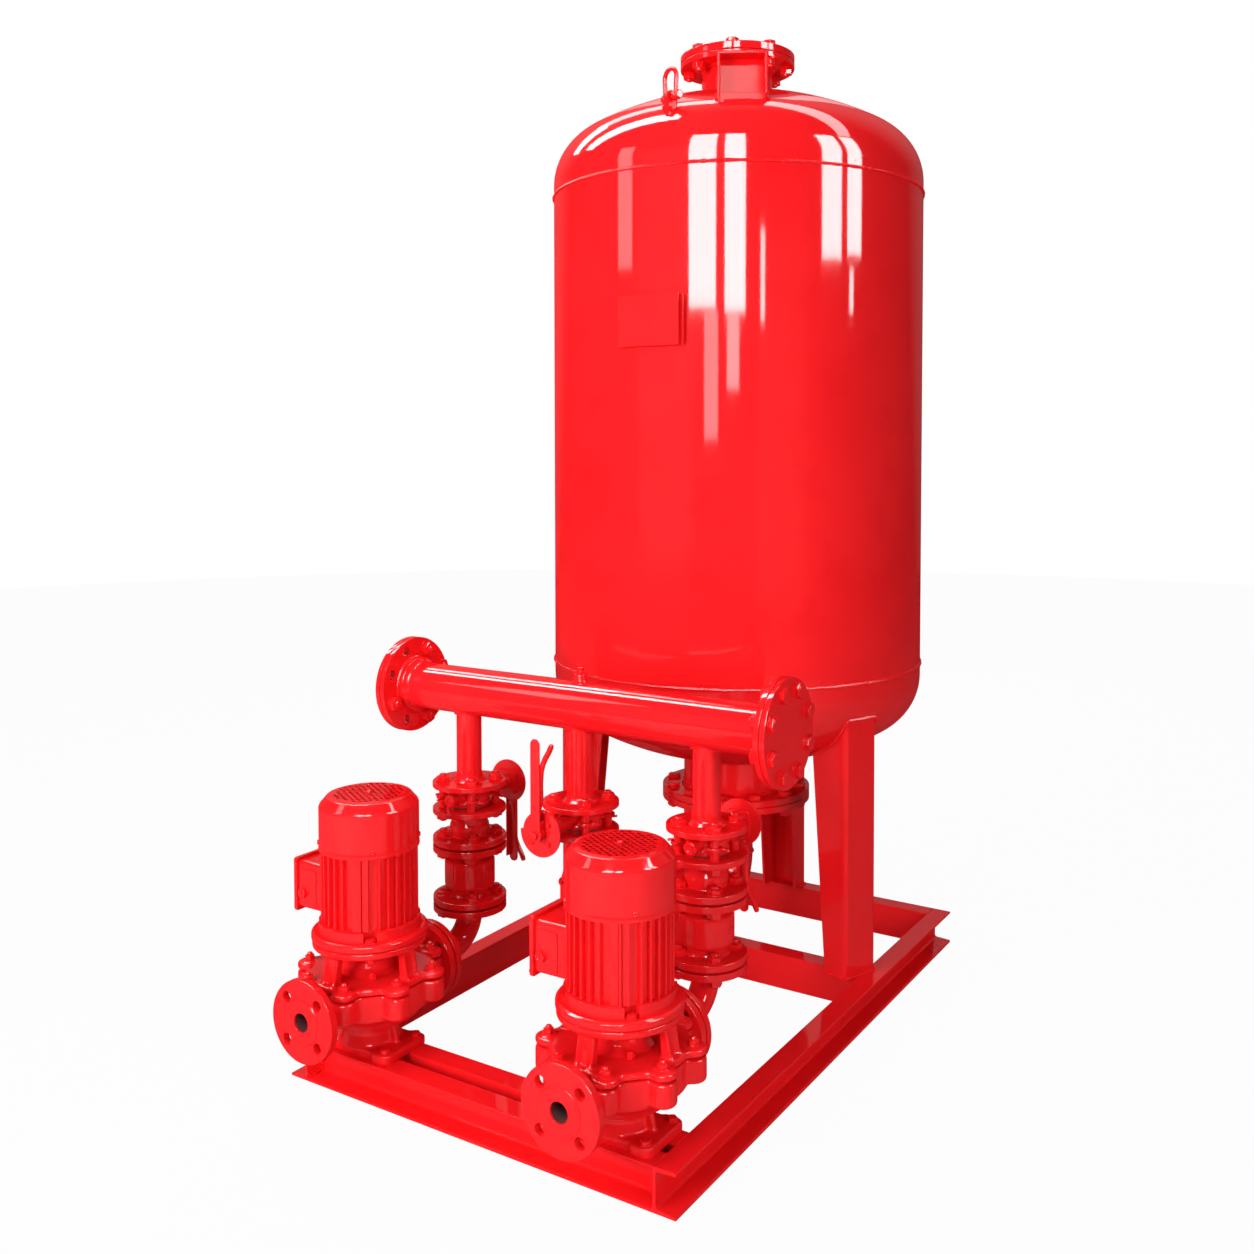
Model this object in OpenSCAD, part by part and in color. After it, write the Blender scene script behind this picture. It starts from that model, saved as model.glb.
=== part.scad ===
// Fire pump set: two vertical in-line pumps and a diaphragm tank on a channel skid, all in millimetres.
// The skid stands on z = 0, x runs along its front and y from the front to the rear.

/* [Skid frame] */
// Length of the skid from front to rear
frame_l = 1200; // [1160:1:1240]
// Width of the skid over the side channels
frame_w = 800; // [780:1:840]
// Height of the rolled channel
channel_h = 70; // [60:1:80]
// Width of the channel's flanges, web included
channel_w = 40; // [36:1:46]
// Thickness of the channel's web
web_t = 5; // [3:0.5:8]
// Mean thickness of the channel's flanges
flange_t = 6; // [4:0.5:9]

/* [Tank] */
// Outside diameter of the tank shell
tank_d = 800; // [780:1:820]
// Distance of the tank axis from the skid's front edge
tank_y = 921; // [915:1:930]
// Height of the lower weld seam above the floor
seam_z = 656; // [646:1:680]
// Height of the shell between its two weld seams
shell_h = 1000; // [800:1:1200]
// Wall of the shell and of both heads
shell_wall = 6; // [4:0.5:9]
// Depth of a dished head, without its straight skirt
head_depth = 195; // [185:1:205]
// Straight skirt of a dished head
head_skirt = 25; // [15:1:35]
// Knuckle radius of a dished head
knuckle_r = 125; // [115:1:135]
// Height of the weld bead over the shell
bead_h = 4; // [2:0.5:6]
// Thickness of the rubber bladder
bladder_wall = 6; // [4:0.5:10]

/* [Tank openings] */
// Diameter of the top neck
top_neck_d = 152; // [140:1:160]
// Diameter of the top flange and its cover
top_flange_d = 248; // [240:1:260]
// Height of the top flange's face over the head
top_neck_h = 74; // [60:1:90]
// Thickness of the top flange
top_flange_t = 12; // [10:1:16]
// Thickness of the top cover
top_cover_t = 16; // [12:1:20]
// Bolts in the top cover
top_bolts = 8; // [8:4:12]
// Diameter of the bottom neck
bottom_neck_d = 230; // [215:1:240]
// Diameter of the bottom flange and its cover
bottom_flange_d = 325; // [315:1:340]
// Drop of the bottom flange's face under the head
bottom_neck_h = 77; // [65:1:90]
// Thickness of the bottom flange and of its cover
bottom_flange_t = 14; // [10:1:18]
// Bolts in the bottom cover
bottom_bolts = 12; // [8:4:12]

/* [Tank legs] */
// Width of a leg's web
leg_w = 85; // [75:1:95]
// Plate thickness of a leg
leg_t = 6; // [5:0.5:9]
// Depth of a leg's sides at the top
leg_top_depth = 95; // [85:1:105]
// Depth of a leg's sides at the foot
leg_foot_depth = 58; // [48:1:68]
// Distance of a front leg's web inside the shell's outer face
leg_inset = 12; // [8:1:18]
// Angle of the two front legs ahead of the tank's middle
leg_angle = 22; // [18:1:26]

/* [Header] */
// Height of the header pipe's axis
header_z = 649; // [640:1:680]
// Outside diameter of the header pipe
header_d = 89; // [80:1:96]
// Wall of the header pipe and of its risers
pipe_wall = 4; // [3:0.5:6]
// Length of the header over its end flanges
header_l = 818; // [780:1:860]
// Diameter of the header's end flanges
header_flange_d = 185; // [178:1:195]
// Thickness of an end flange, and of the blind on it
header_flange_t = 10; // [8:1:14]
// Bolt circle of the end flanges
header_pcd = 145; // [138:1:150]

/* [Branches] */
// Distance between the two pumps
pump_pitch = 528; // [500:1:540]
// Distance of the branches and the header from the skid's front edge
stack_y = 327; // [322:1:340]
// Diameter of the branch flanges
branch_flange_d = 140; // [136:1:146]
// Bolt circle of the branch flanges
branch_pcd = 100; // [98:1:103]
// Outside diameter of the branch pipes
riser_d = 48; // [44:1:52]
// Bore of the branch valves and pump flanges
line_bore = 32; // [28:1:34]
// Thickness of a welded branch flange
branch_flange_t = 12; // [10:1:14]
// Length of a flexible joint over its flanges
flex_l = 68; // [64:1:76]
// Length of a check valve over its flanges
check_l = 111; // [106:1:120]
// Outside diameter of a check valve's barrel
check_d = 96; // [88:1:100]
// Lift of a check valve's disc
check_lift = 10; // [6:1:12]
// Bend radius of a discharge elbow
elbow_r = 57; // [52:1:62]
// Thickness of a branch gasket
gasket_t = 4; // [3:0.5:6]

/* [Tank branch] */
// Outside diameter of the pipe under the tank
tank_pipe_d = 76; // [70:1:82]
// Height of that pipe's run above the floor
tank_run_z = 130; // [124:1:150]
// Bend radius of that pipe
tank_bend_r = 90; // [85:1:100]

/* [Butterfly valves] */
// Width of a valve between its pipe flanges
valve_w = 40; // [38:1:46]
// Bore of a valve
valve_bore = 40; // [36:1:42]
// Diameter of a valve's ring
valve_ring_d = 80; // [76:1:82]
// Distance of the index plate from the valve's axis
neck_l = 118; // [112:1:124]
// Diameter of the index plate
index_d = 85; // [80:1:90]
// Thickness of the index plate
index_t = 4; // [3:0.5:5]
// Length of a lever from its stem
lever_l = 168; // [150:1:180]
// Width of a lever
lever_w = 20; // [18:1:24]
// Diameter of a valve stem
stem_d = 12; // [10:1:14]
// Angle that a lever turns from open to shut
valve_turn = 90; // [80:1:90]

/* [Pumps] */
// Distance of the pump axes from the skid's front edge
pump_y = 60; // [56:1:64]
// Height of the suction and discharge axes above the skid
port_h = 97; // [94:1:102]
// Distance from the pump axis to the suction face
suction_reach = 160; // [155:1:166]
// Distance from the pump axis to the discharge face
discharge_reach = 148; // [145:1:154]
// Thickness of a pump flange
port_flange_t = 16; // [14:1:18]
// Outside diameter of the casing between its lobes
casing_d = 216; // [210:1:222]
// Circle of the cover's studs
stud_circle = 226; // [222:1:230]
// Radius of a casing lobe
lobe_r = 21; // [19:1:23]
// Width of the pump's foot plate
foot_w = 172; // [166:1:178]
// Depth of the pump's foot plate
foot_d = 104; // [100:1:108]
// Thickness of the foot plate
foot_t = 15; // [12:1:18]
// Diameter of the impeller
impeller_d = 124; // [116:1:130]
// Vanes of the impeller
vanes = 6; // [5:1:7]

/* [Motors] */
// Diameter of the motor flange
motor_flange_d = 200; // [196:1:206]
// Diameter over the cooling fins
fin_d = 167; // [164:1:169]
// Length of the finned body
motor_l = 132; // [126:1:140]
// Number of cooling fins
fins = 32; // [24:4:36]
// Diameter of the fan cowl
cowl_d = 172; // [172:1:178]
// Height of the fan cowl
cowl_h = 93; // [88:1:98]
// Diameter of the motor shaft
shaft_d = 24; // [20:1:26]
// Width of the terminal box's lid
box_w = 96; // [90:1:100]
// Distance from the motor axis to the lid's face
box_reach = 139; // [134:1:146]

/* [Hidden] */
$fn = 72;

paint = [0.86, 0.05, 0.06];
steel = [0.62, 0.63, 0.65];
rubber = [0.08, 0.08, 0.08];

// Small working values
eps = 0.01;
cut = 1;
fit = 0.04;
clear = 0.3;
bolt_d = 16;
hole_d = 18;
close_hole_d = 17;
small_bolt_d = 10;
small_hole_d = 11;

// Skid
side_x = frame_w / 2 - channel_w;
y_front = pump_y - suction_reach;
y_rear = tank_y + tank_d / 2 + bead_h;
y_mid = (y_front + y_rear) / 2;
leg_r = tank_d / 2 - leg_inset;
leg_foot_y = tank_y - leg_r * sin(leg_angle);
rear_leg_r = frame_l - 4 - tank_y;
foot_bolt_x = foot_w - 32;
foot_bolt_y = foot_d - 28;
pump_beam_y = pump_y + foot_bolt_y / 2 - channel_w * 0.8;
tank_beam_y = leg_foot_y + web_t;

// Tank
shell_r = tank_d / 2;
seam_top_z = seam_z + shell_h;
head_h = head_skirt + head_depth;
top_joint_z = seam_top_z + head_h + top_neck_h;
bottom_joint_z = seam_z - head_h - bottom_neck_h;
top_pcd = top_flange_d - 36;
bottom_pcd = bottom_flange_d - 40;

// Branches, from the pump's axis upwards
port_z = channel_h + port_h;
elbow_stub = 4;
elbow_face_z = port_z + elbow_r + elbow_stub + branch_flange_t;
check_z = elbow_face_z + gasket_t;
flex_z = check_z + check_l + gasket_t;
valve_base_z = flex_z + flex_l;
valve_z = valve_base_z + valve_w / 2;
riser_face_z = valve_base_z + valve_w;
thin_flange_t = branch_flange_t - 2;
discharge_y = pump_y + discharge_reach;
port_gasket_t = 2;
branch_x = [-pump_pitch / 2, 0, pump_pitch / 2];
side_signs = [-1, 1];

// Pump, in heights above the floor
foot_z = channel_h;
casing_base_z = port_z - 39;
casing_top_z = port_z + 28;
cover_z = casing_top_z + 2;
cover_t = 10;
eye_r = 17;
chamber_z = port_z + 9;
chamber_r = impeller_d / 2 + 8;
motor_z = cover_z + 69;
lantern_t = 12;
motor_flange_t = 14;
fin_z = motor_z + 32;
motor_top_z = fin_z + motor_l;
shaft_r = shaft_d / 2;
cowl_wall = 2;
rotor_r = 41;
bearing_r = shaft_r + 14;
bearing_h = 15;
low_bearing_z = motor_z + 6;
high_bearing_z = motor_top_z - 8 - bearing_h;
seal_r = shaft_r + 8;
bore_r = line_bore / 2;

// Moves a piece so that the middle of the whole set stands over the origin
module set_down() translate([0, -y_mid, 0]) children();

// Copies a child round the z axis
module ring_of(count, radius, start = 0)
  for (i = [0 : count - 1]) rotate([0, 0, start + i * 360 / count]) translate([radius, 0, 0]) children();

// Rolled channel along +X with its web on y = 0 and its tapered flanges towards +Y
module channel(length) {
  tip = flange_t - 1;
  root = flange_t + 1;
  rotate([90, 0, 90]) linear_extrude(length)
    polygon([[0, 0], [channel_w, 0], [channel_w, tip], [web_t, root], [web_t, channel_h - root],
      [channel_w, channel_h - tip], [channel_w, channel_h], [0, channel_h]]);
}

// Hexagon bolt with its head over the origin, its shank down and a nut with a domed end below
module hex_bolt(d, grip, nut = true) {
  rotate([0, 0, 30]) cylinder(d = d * 1.75, h = d * 0.62, $fn = 6);
  translate([0, 0, -grip - (nut ? d * 1.1 : d)]) cylinder(d = d, h = grip + (nut ? d * 1.1 : d) + eps);
  if (nut) translate([0, 0, -grip - d * 0.8]) rotate([0, 0, 30]) cylinder(d = d * 1.75, h = d * 0.8, $fn = 6);
}

// Flat ring on z = 0
module washer_ring(outer, inner, t) difference() {
  cylinder(d = outer, h = t);
  translate([0, 0, -cut]) cylinder(d = inner, h = t + 2 * cut);
}

// Drilled flange on z = 0 with its bolt holes at start degrees
module flange(d, t, pcd, count, start, bore, hole = hole_d) difference() {
  cylinder(d = d, h = t);
  translate([0, 0, -cut]) {
    cylinder(d = bore, h = t + 2 * cut);
    ring_of(count, pcd / 2, start) cylinder(d = hole, h = t + 2 * cut);
  }
}

// Half outline of a torispherical head that rises from z = 0
module head_half(radius, depth, knuckle, skirt) {
  crown = (knuckle * knuckle - (radius - knuckle) * (radius - knuckle) - depth * depth)
    / (2 * (knuckle - depth));
  tangent = (radius - knuckle) * crown / (crown - knuckle);
  translate([0, skirt]) {
    intersection() {
      translate([0, depth - crown]) circle(crown, $fn = 360);
      square([tangent, depth]);
    }
    intersection() {
      translate([radius - knuckle, 0]) circle(knuckle, $fn = 180);
      translate([tangent - eps, 0]) square([radius - tangent + eps, depth]);
    }
  }
  square([radius, skirt + eps]);
}

// Height of a head's outer face over its edge, near its rim
function knuckle_rise(r) = head_skirt + sqrt(knuckle_r * knuckle_r - (r - shell_r + knuckle_r) ^ 2);

// Solid inside a head's outer face
module head_solid() rotate_extrude($fn = 120)
  head_half(shell_r, head_depth, knuckle_r, head_skirt);

// Pressed head with its opening
module dished_head(opening) difference() {
  rotate_extrude($fn = 120) difference() {
    head_half(shell_r, head_depth, knuckle_r, head_skirt);
    translate([0, -eps]) head_half(shell_r - shell_wall, head_depth - shell_wall + eps,
      knuckle_r - shell_wall, head_skirt);
  }
  cylinder(d = opening, h = head_h + cut);
}

// Neck with its flange whose joint face lies on z = 0 and whose pipe runs down to the head
module head_neck(neck_d, flange_d, t, pcd, count, height) {
  translate([0, 0, -t]) flange(flange_d, t, pcd, count, 180 / count, neck_d - 2 * shell_wall);
  difference() {
    translate([0, 0, -height - shell_r / 4]) cylinder(d = neck_d, h = height + shell_r / 4 - eps);
    translate([0, 0, -height - shell_r / 4 - cut])
      cylinder(d = neck_d - 2 * shell_wall, h = height + shell_r / 4 + 2 * cut);
    translate([0, 0, -height - head_h]) head_solid();
  }
}

module on_tank(z) set_down() translate([0, tank_y, z]) children();
module at_top_head() on_tank(seam_top_z) children();

module frame_left() color(paint) set_down()
  translate([-side_x, 0, 0]) rotate([0, 0, 90]) channel(frame_l);

module frame_right() color(paint) set_down()
  translate([side_x, frame_l, 0]) rotate([0, 0, -90]) channel(frame_l);

module frame_front() color(paint) set_down()
  translate([side_x, channel_w, 0]) rotate([0, 0, 180]) front_channel();

// The front channel is drilled for the front bolts of both pump feet
module front_channel() difference() {
  channel(2 * side_x);
  for (x = [side_x - pump_pitch / 2, side_x + pump_pitch / 2], s = side_signs)
    translate([x + s * foot_bolt_x / 2, channel_w - pump_y + foot_bolt_y / 2, channel_h / 2])
      cylinder(d = small_hole_d, h = channel_h);
}

module frame_rear() color(paint) set_down()
  translate([-side_x, frame_l - channel_w, 0]) channel(2 * side_x);

module cross_beams() color(paint) set_down() {
  difference() {
    translate([-side_x, pump_beam_y, 0]) channel(2 * side_x);
    for (side = side_signs, s = side_signs)
      translate([side * pump_pitch / 2 + s * foot_bolt_x / 2, pump_y + foot_bolt_y / 2, channel_h / 2])
        cylinder(d = small_hole_d, h = channel_h);
  }
  translate([-side_x, tank_beam_y, 0]) channel(2 * side_x);
}

module tank_shell() color(paint) on_tank(seam_z) {
  washer_ring(tank_d, tank_d - 2 * shell_wall, shell_h);
  for (z = [0, shell_h]) translate([0, 0, z]) rotate_extrude($fn = 120) difference() {
    translate([shell_r, 0]) circle(bead_h, $fn = 24);
    translate([shell_r - 2 * bead_h, -2 * bead_h]) square([2 * bead_h, 4 * bead_h]);
  }
}

module tank_top_head() color(paint) at_top_head() dished_head(top_neck_d - 2 * shell_wall);

module tank_bottom_head() color(paint) on_tank(seam_z) mirror([0, 0, 1])
  dished_head(bottom_neck_d - 2 * shell_wall);

module tank_necks() color(paint) {
  on_tank(top_joint_z)
    head_neck(top_neck_d, top_flange_d, top_flange_t, top_pcd, top_bolts, top_neck_h);
  on_tank(bottom_joint_z) mirror([0, 0, 1])
    head_neck(bottom_neck_d, bottom_flange_d, bottom_flange_t, bottom_pcd, bottom_bolts, bottom_neck_h);
}

// Folded leg whose web faces +X at the given radius and whose tapered sides run inwards
module tank_leg(radius) difference() {
  height = seam_z - channel_h;
  translate([radius, 0, channel_h]) {
    translate([-leg_t, -leg_w / 2, 0]) cube([leg_t, leg_w, height]);
    for (s = side_signs) translate([0, s * (leg_w - leg_t) / 2 + leg_t / 2, 0]) rotate([90, 0, 0])
      linear_extrude(leg_t) polygon([[0, 0], [-leg_foot_depth, 0], [-leg_top_depth, height], [0, height]]);
  }
  translate([0, 0, seam_z]) mirror([0, 0, 1]) head_solid();
  translate([0, 0, bottom_joint_z]) cylinder(d = bottom_flange_d + 4, h = seam_z);
}

module tank_legs() color(paint) on_tank(0) {
  for (a = [-leg_angle, 180 + leg_angle]) rotate([0, 0, a]) tank_leg(leg_r);
  rotate([0, 0, 90]) tank_leg(rear_leg_r);
}

// Rubber bag that hangs in the shell and is clamped at the bottom neck
module tank_bladder() color(rubber) on_tank(seam_z) rotate_extrude($fn = 96) difference() {
  bag_half(0);
  bag_half(bladder_wall);
}

// Half outline of the bag, shrunk by inset
module bag_half(inset) {
  gap = 14;
  r = shell_r - shell_wall - gap - inset;
  corner = knuckle_r + 60 - inset;
  rise = head_depth - 45 - inset;
  neck_r = bottom_neck_d / 2 - shell_wall - gap - inset;
  translate([0, -rise + corner]) square([r, shell_h + 2 * (rise - corner)]);
  translate([0, -rise]) square([r - corner, shell_h + 2 * rise]);
  for (z = [corner - rise, shell_h + rise - corner]) translate([r - corner, z]) circle(corner, $fn = 120);
  translate([0, -head_h - bottom_neck_h - gasket_t / 4 - (inset > 0 ? cut : 0)]) square([neck_r, shell_h]);
}

module top_cover() color(paint) on_tank(top_joint_z + gasket_t / 4)
  difference() {
    cylinder(d = top_flange_d, h = top_cover_t);
    ring_of(top_bolts, top_pcd / 2, 180 / top_bolts)
      translate([0, 0, -cut]) cylinder(d = hole_d, h = top_cover_t + 2 * cut);
  }

module bottom_cover() color(paint) on_tank(bottom_joint_z - gasket_t / 4 - bottom_flange_t)
  flange(bottom_flange_d, bottom_flange_t, bottom_pcd, bottom_bolts, 180 / bottom_bolts,
    tank_pipe_d - 2 * pipe_wall);

// Blank plate on two bars welded to the front of the shell
plate_angle = -86;
plate_z = 1361;
plate_w = 132;
plate_h = 98;
plate_stand = 8;
module nameplate() color(paint) on_tank(plate_z) rotate([0, 0, plate_angle]) {
  back_t = 2;
  back_r = shell_r + 2;
  difference() {
    union() {
      translate([back_r, -plate_w / 2 - 6, -plate_h / 2]) cube([back_t, plate_w + 12, plate_h]);
      for (z = [-plate_h / 2 + 4, plate_h / 2 - 14])
        translate([shell_r - 10, -40, z]) cube([12 + eps, 80, 10]);
    }
    translate([0, 0, -plate_h]) cylinder(r = shell_r, h = 2 * plate_h);
  }
  translate([back_r + back_t + plate_stand, -plate_w / 2, -plate_h / 2]) cube([1.5, plate_w, plate_h]);
  for (y = [-plate_w / 2 + 6, plate_w / 2 - 6], z = [-plate_h / 2 + 12, plate_h / 2 - 12])
    translate([back_r + back_t, y, z]) rotate([0, 90, 0]) cylinder(r = 2.5, h = plate_stand);
}

// Open box bracket and lifting eye, both welded to the top head
bracket_angle = -60;
bracket_w = 97;
bracket_r = shell_r - 53;
bracket_depth = 46;
bracket_top = 220;
bracket_t = 6;
lip_drop = 82;
eye_angle = -82;
eye_radius = shell_r - 32;
eye_turn = -23;
eye_stand = 24.5;
eye_lift = knuckle_rise(eye_radius) + eye_stand;
eye_hole_d = 12;
eye_t = 12;
shackle_pin_d = 11;
shackle_bar_d = 9;
shackle_gap = 26;
shackle_h = 54;
module head_fittings() color(paint) difference() {
  union() {
    at_top_head() rotate([0, 0, bracket_angle]) translate([bracket_r - bracket_depth, -bracket_w / 2, 0])
      box_bracket();
    at_eye() difference() {
      union() {
        translate([-eye_t / 2, 0, 0]) rotate([0, 90, 0]) cylinder(r = 13, h = eye_t);
        translate([-eye_t / 2, -10, -34]) cube([eye_t, 20, 34]);
      }
      translate([-eye_t, 0, 0]) rotate([0, 90, 0]) cylinder(d = eye_hole_d, h = 2 * eye_t);
    }
  }
  at_top_head() head_solid();
}

// Bracket with its open side outwards and a lip at its foot
module box_bracket() {
  for (y = [0, bracket_w - bracket_t]) translate([0, y, 0]) cube([bracket_depth, bracket_t, bracket_top]);
  cube([bracket_t, bracket_w, bracket_top]);
  translate([0, 0, bracket_top - bracket_t]) cube([bracket_depth, bracket_w, bracket_t]);
  translate([bracket_depth - 8, 4, 0]) cube([16, bracket_w - 8, bracket_top - lip_drop]);
}

module at_eye() at_top_head() rotate([0, 0, eye_angle]) translate([eye_radius, 0, eye_lift])
  rotate([0, 0, eye_turn - eye_angle]) children();

module shackle() color(paint) at_eye() {
  bend_r = (shackle_gap + shackle_bar_d) / 2;
  pin_l = shackle_gap + 2 * shackle_bar_d + 8;
  translate([-pin_l / 2, 0, 0]) rotate([0, 90, 0]) cylinder(d = shackle_pin_d, h = pin_l);
  translate([pin_l / 2 - 1, 0, 0]) rotate([0, 90, 0]) cylinder(d = shackle_pin_d + 6, h = 6);
  difference() {
    union() {
      translate([0, 0, shackle_h - bend_r]) rotate([90, 0, 0])
        rotate_extrude(angle = 180) translate([bend_r, 0]) circle(d = shackle_bar_d, $fn = 24);
      for (s = side_signs) {
        translate([s * bend_r, 0, 0]) cylinder(d = shackle_bar_d, h = shackle_h - bend_r + eps);
        translate([s * bend_r - shackle_bar_d / 2, 0, 0]) rotate([0, 90, 0])
          cylinder(d = shackle_pin_d + 7, h = shackle_bar_d);
      }
    }
    translate([-pin_l, 0, 0]) rotate([0, 90, 0]) cylinder(d = shackle_pin_d + fit, h = 2 * pin_l);
  }
}

// Header with its end flanges and its gauge socket
plug_hex = 14;
module header_pipe() color(paint) set_down() difference() {
  union() {
    translate([-header_l / 2, stack_y, header_z]) rotate([0, 90, 0]) {
      cylinder(d = header_d, h = header_l);
      for (z = [0, header_l - header_flange_t])
        translate([0, 0, z]) cylinder(d = header_flange_d, h = header_flange_t);
    }
    translate([0, stack_y, header_z + header_d / 2 - 3]) cylinder(d1 = 30, d2 = 22, h = 15);
  }
  translate([-header_l / 2 - cut, stack_y, header_z]) rotate([0, 90, 0]) {
    cylinder(d = header_d - 2 * pipe_wall, h = header_l + 2 * cut);
    rotate([0, 0, 22.5]) ring_of(8, header_pcd / 2) cylinder(d = hole_d, h = header_l + 2 * cut);
  }
  for (x = branch_x) translate([x, stack_y, header_z - header_d])
    cylinder(d = riser_d - 2 * pipe_wall, h = header_d);
  translate([0, stack_y, header_z]) cylinder(d = 10, h = header_d);
}

// The three risers with their flanges, saddle-cut to the header
module header_risers() color(paint) set_down() difference() {
  for (x = branch_x) translate([x, stack_y, riser_face_z]) {
    cylinder(d = riser_d, h = header_z - riser_face_z);
    cylinder(d = branch_flange_d, h = thin_flange_t);
    cylinder(d1 = riser_d + 14, d2 = riser_d, h = thin_flange_t + 6);
  }
  for (x = branch_x) translate([x, stack_y, riser_face_z - cut]) {
    cylinder(d = riser_d - 2 * pipe_wall, h = header_z - riser_face_z);
    ring_of(4, branch_pcd / 2, 45) cylinder(d = hole_d, h = thin_flange_t + 2 * cut);
  }
  translate([-header_l / 2, stack_y, header_z]) rotate([0, 90, 0]) cylinder(d = header_d, h = header_l);
}

module header_blinds() color(paint) set_down()
  for (s = side_signs) translate([s * (header_l / 2 + 1), stack_y, header_z]) rotate([0, s * 90, 0])
    flange(header_flange_d, header_flange_t, header_pcd, 8, 22.5, 1.5);

module gauge_plug() color(paint) set_down()
  translate([0, stack_y, header_z + header_d / 2 + 12]) {
    cylinder(d = plug_hex, h = 15, $fn = 6);
    translate([0, 0, -16]) cylinder(d = 10 - fit, h = 16 + eps);
  }

// Pipe bend in the YZ plane: from +Z at the origin to a run along -Y
module pipe_bend(radius, d, wall) translate([0, -radius, 0]) rotate([0, 90, 0]) rotate([0, 0, 0])
  rotate_extrude(angle = 90) translate([radius, 0]) difference() {
    circle(d = d);
    circle(d = d - 2 * wall);
  }

module tank_branch() color(paint) set_down() {
  wall = pipe_wall;
  top = bottom_joint_z - gasket_t / 4 - bottom_flange_t;
  bend_z = tank_run_z + tank_bend_r;
  reducer_h = 50;
  reducer_z = valve_base_z - thin_flange_t - 40;
  translate([0, tank_y, bend_z]) {
    pipe_bend(tank_bend_r, tank_pipe_d, wall);
    tube(tank_pipe_d, top - bend_z, wall);
  }
  translate([0, stack_y + tank_bend_r, tank_run_z]) rotate([-90, 0, 0])
    tube(tank_pipe_d, tank_y - stack_y - 2 * tank_bend_r, wall);
  translate([0, stack_y, bend_z]) {
    rotate([0, 0, 180]) pipe_bend(tank_bend_r, tank_pipe_d, wall);
    tube(tank_pipe_d, reducer_z - reducer_h - bend_z, wall);
  }
  translate([0, stack_y, reducer_z - reducer_h]) difference() {
    cylinder(d1 = tank_pipe_d, d2 = riser_d, h = reducer_h);
    translate([0, 0, -eps])
      cylinder(d1 = tank_pipe_d - 2 * wall, d2 = riser_d - 2 * wall, h = reducer_h + 2 * eps);
  }
  translate([0, stack_y, reducer_z]) tube(riser_d, valve_base_z - thin_flange_t - reducer_z, wall);
  translate([0, stack_y, valve_base_z - thin_flange_t])
    flange(branch_flange_d, thin_flange_t, branch_pcd, 4, 45, riser_d - 2 * wall);
}

module tube(d, length, wall) washer_ring(d, d - 2 * wall, length);

// Pump, drawn with its axis on x = 0, y = 0 at the true height
module at_pump(side) set_down() translate([side * pump_pitch / 2, pump_y, 0]) children();

// Raised-face pump flange, joint face on z = 0 and body below
module port_flange() {
  translate([0, 0, -2]) cylinder(d = branch_pcd - 22, h = 2);
  translate([0, 0, -port_flange_t]) cylinder(d = branch_flange_d, h = port_flange_t - 2);
}

// Lobed outline that the casing and its cover share
module lobed(height, waist) {
  cylinder(d = waist, h = height);
  ring_of(8, stud_circle / 2, 22.5) cylinder(r = lobe_r, h = height);
}

module pump_casing(side) color(paint) at_pump(side) difference() {
  union() {
    translate([-foot_w / 2, -foot_d / 2, foot_z]) cube([foot_w, foot_d, foot_t]);
    pedestal();
    translate([0, 0, casing_base_z]) casing_bowl(casing_top_z - casing_base_z);
    translate([0, 0, casing_top_z - 38]) ring_of(8, stud_circle / 2, 22.5) cylinder(r = lobe_r, h = 37);
    translate([0, 0, port_z]) {
      rotate([90, 0, 0]) port_neck(suction_reach);
      rotate([-90, 0, 0]) port_neck(discharge_reach);
    }
  }
  pump_passages();
  for (s = side_signs, t = side_signs)
    translate([s * foot_bolt_x / 2, t * foot_bolt_y / 2, foot_z - cut])
      cylinder(d = small_hole_d, h = foot_t + 2 * cut);
  translate([0, 0, port_z]) {
    rotate([90, 0, 0]) translate([0, 0, suction_reach - port_flange_t - cut])
      ring_of(4, branch_pcd / 2, 45) cylinder(d = hole_d, h = port_flange_t + 2 * cut);
    rotate([-90, 0, 0]) translate([0, 0, discharge_reach - port_flange_t - cut])
      ring_of(4, branch_pcd / 2, 45) cylinder(d = close_hole_d, h = port_flange_t + 2 * cut);
  }
  translate([0, 0, casing_top_z - 24]) ring_of(8, stud_circle / 2, 22.5)
    cylinder(d = small_bolt_d, h = 24 + cut);
}

// Foot with its four ribs
module pedestal() {
  base = foot_z + foot_t - 1;
  translate([0, 0, base]) cylinder(r1 = 50, r2 = 46, h = casing_base_z - base + 2);
  for (a = [0, 90]) rotate([0, 0, a]) translate([0, 4, base]) rotate([90, 0, 0]) linear_extrude(8)
    polygon([[-62 + a / 7.5, 0], [62 - a / 7.5, 0], [54, 50], [-54, 50]]);
}

// Bowl of the casing, turned in one piece
module casing_bowl(height) rotate_extrude()
  polygon([[0, 0], [casing_d / 2 - 24, 0], [casing_d / 2 - 20, 4], [casing_d / 2 - 14, 12],
    [casing_d / 2 - 10, 18], [casing_d / 2, 24], [casing_d / 2, height], [0, height]]);

// Neck from inside the bowl to its raised-face flange at reach
module port_neck(reach) {
  translate([0, 0, 40]) cylinder(r1 = 23.5, r2 = 30, h = reach - port_flange_t - 39);
  translate([0, 0, reach]) port_flange();
}

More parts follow.
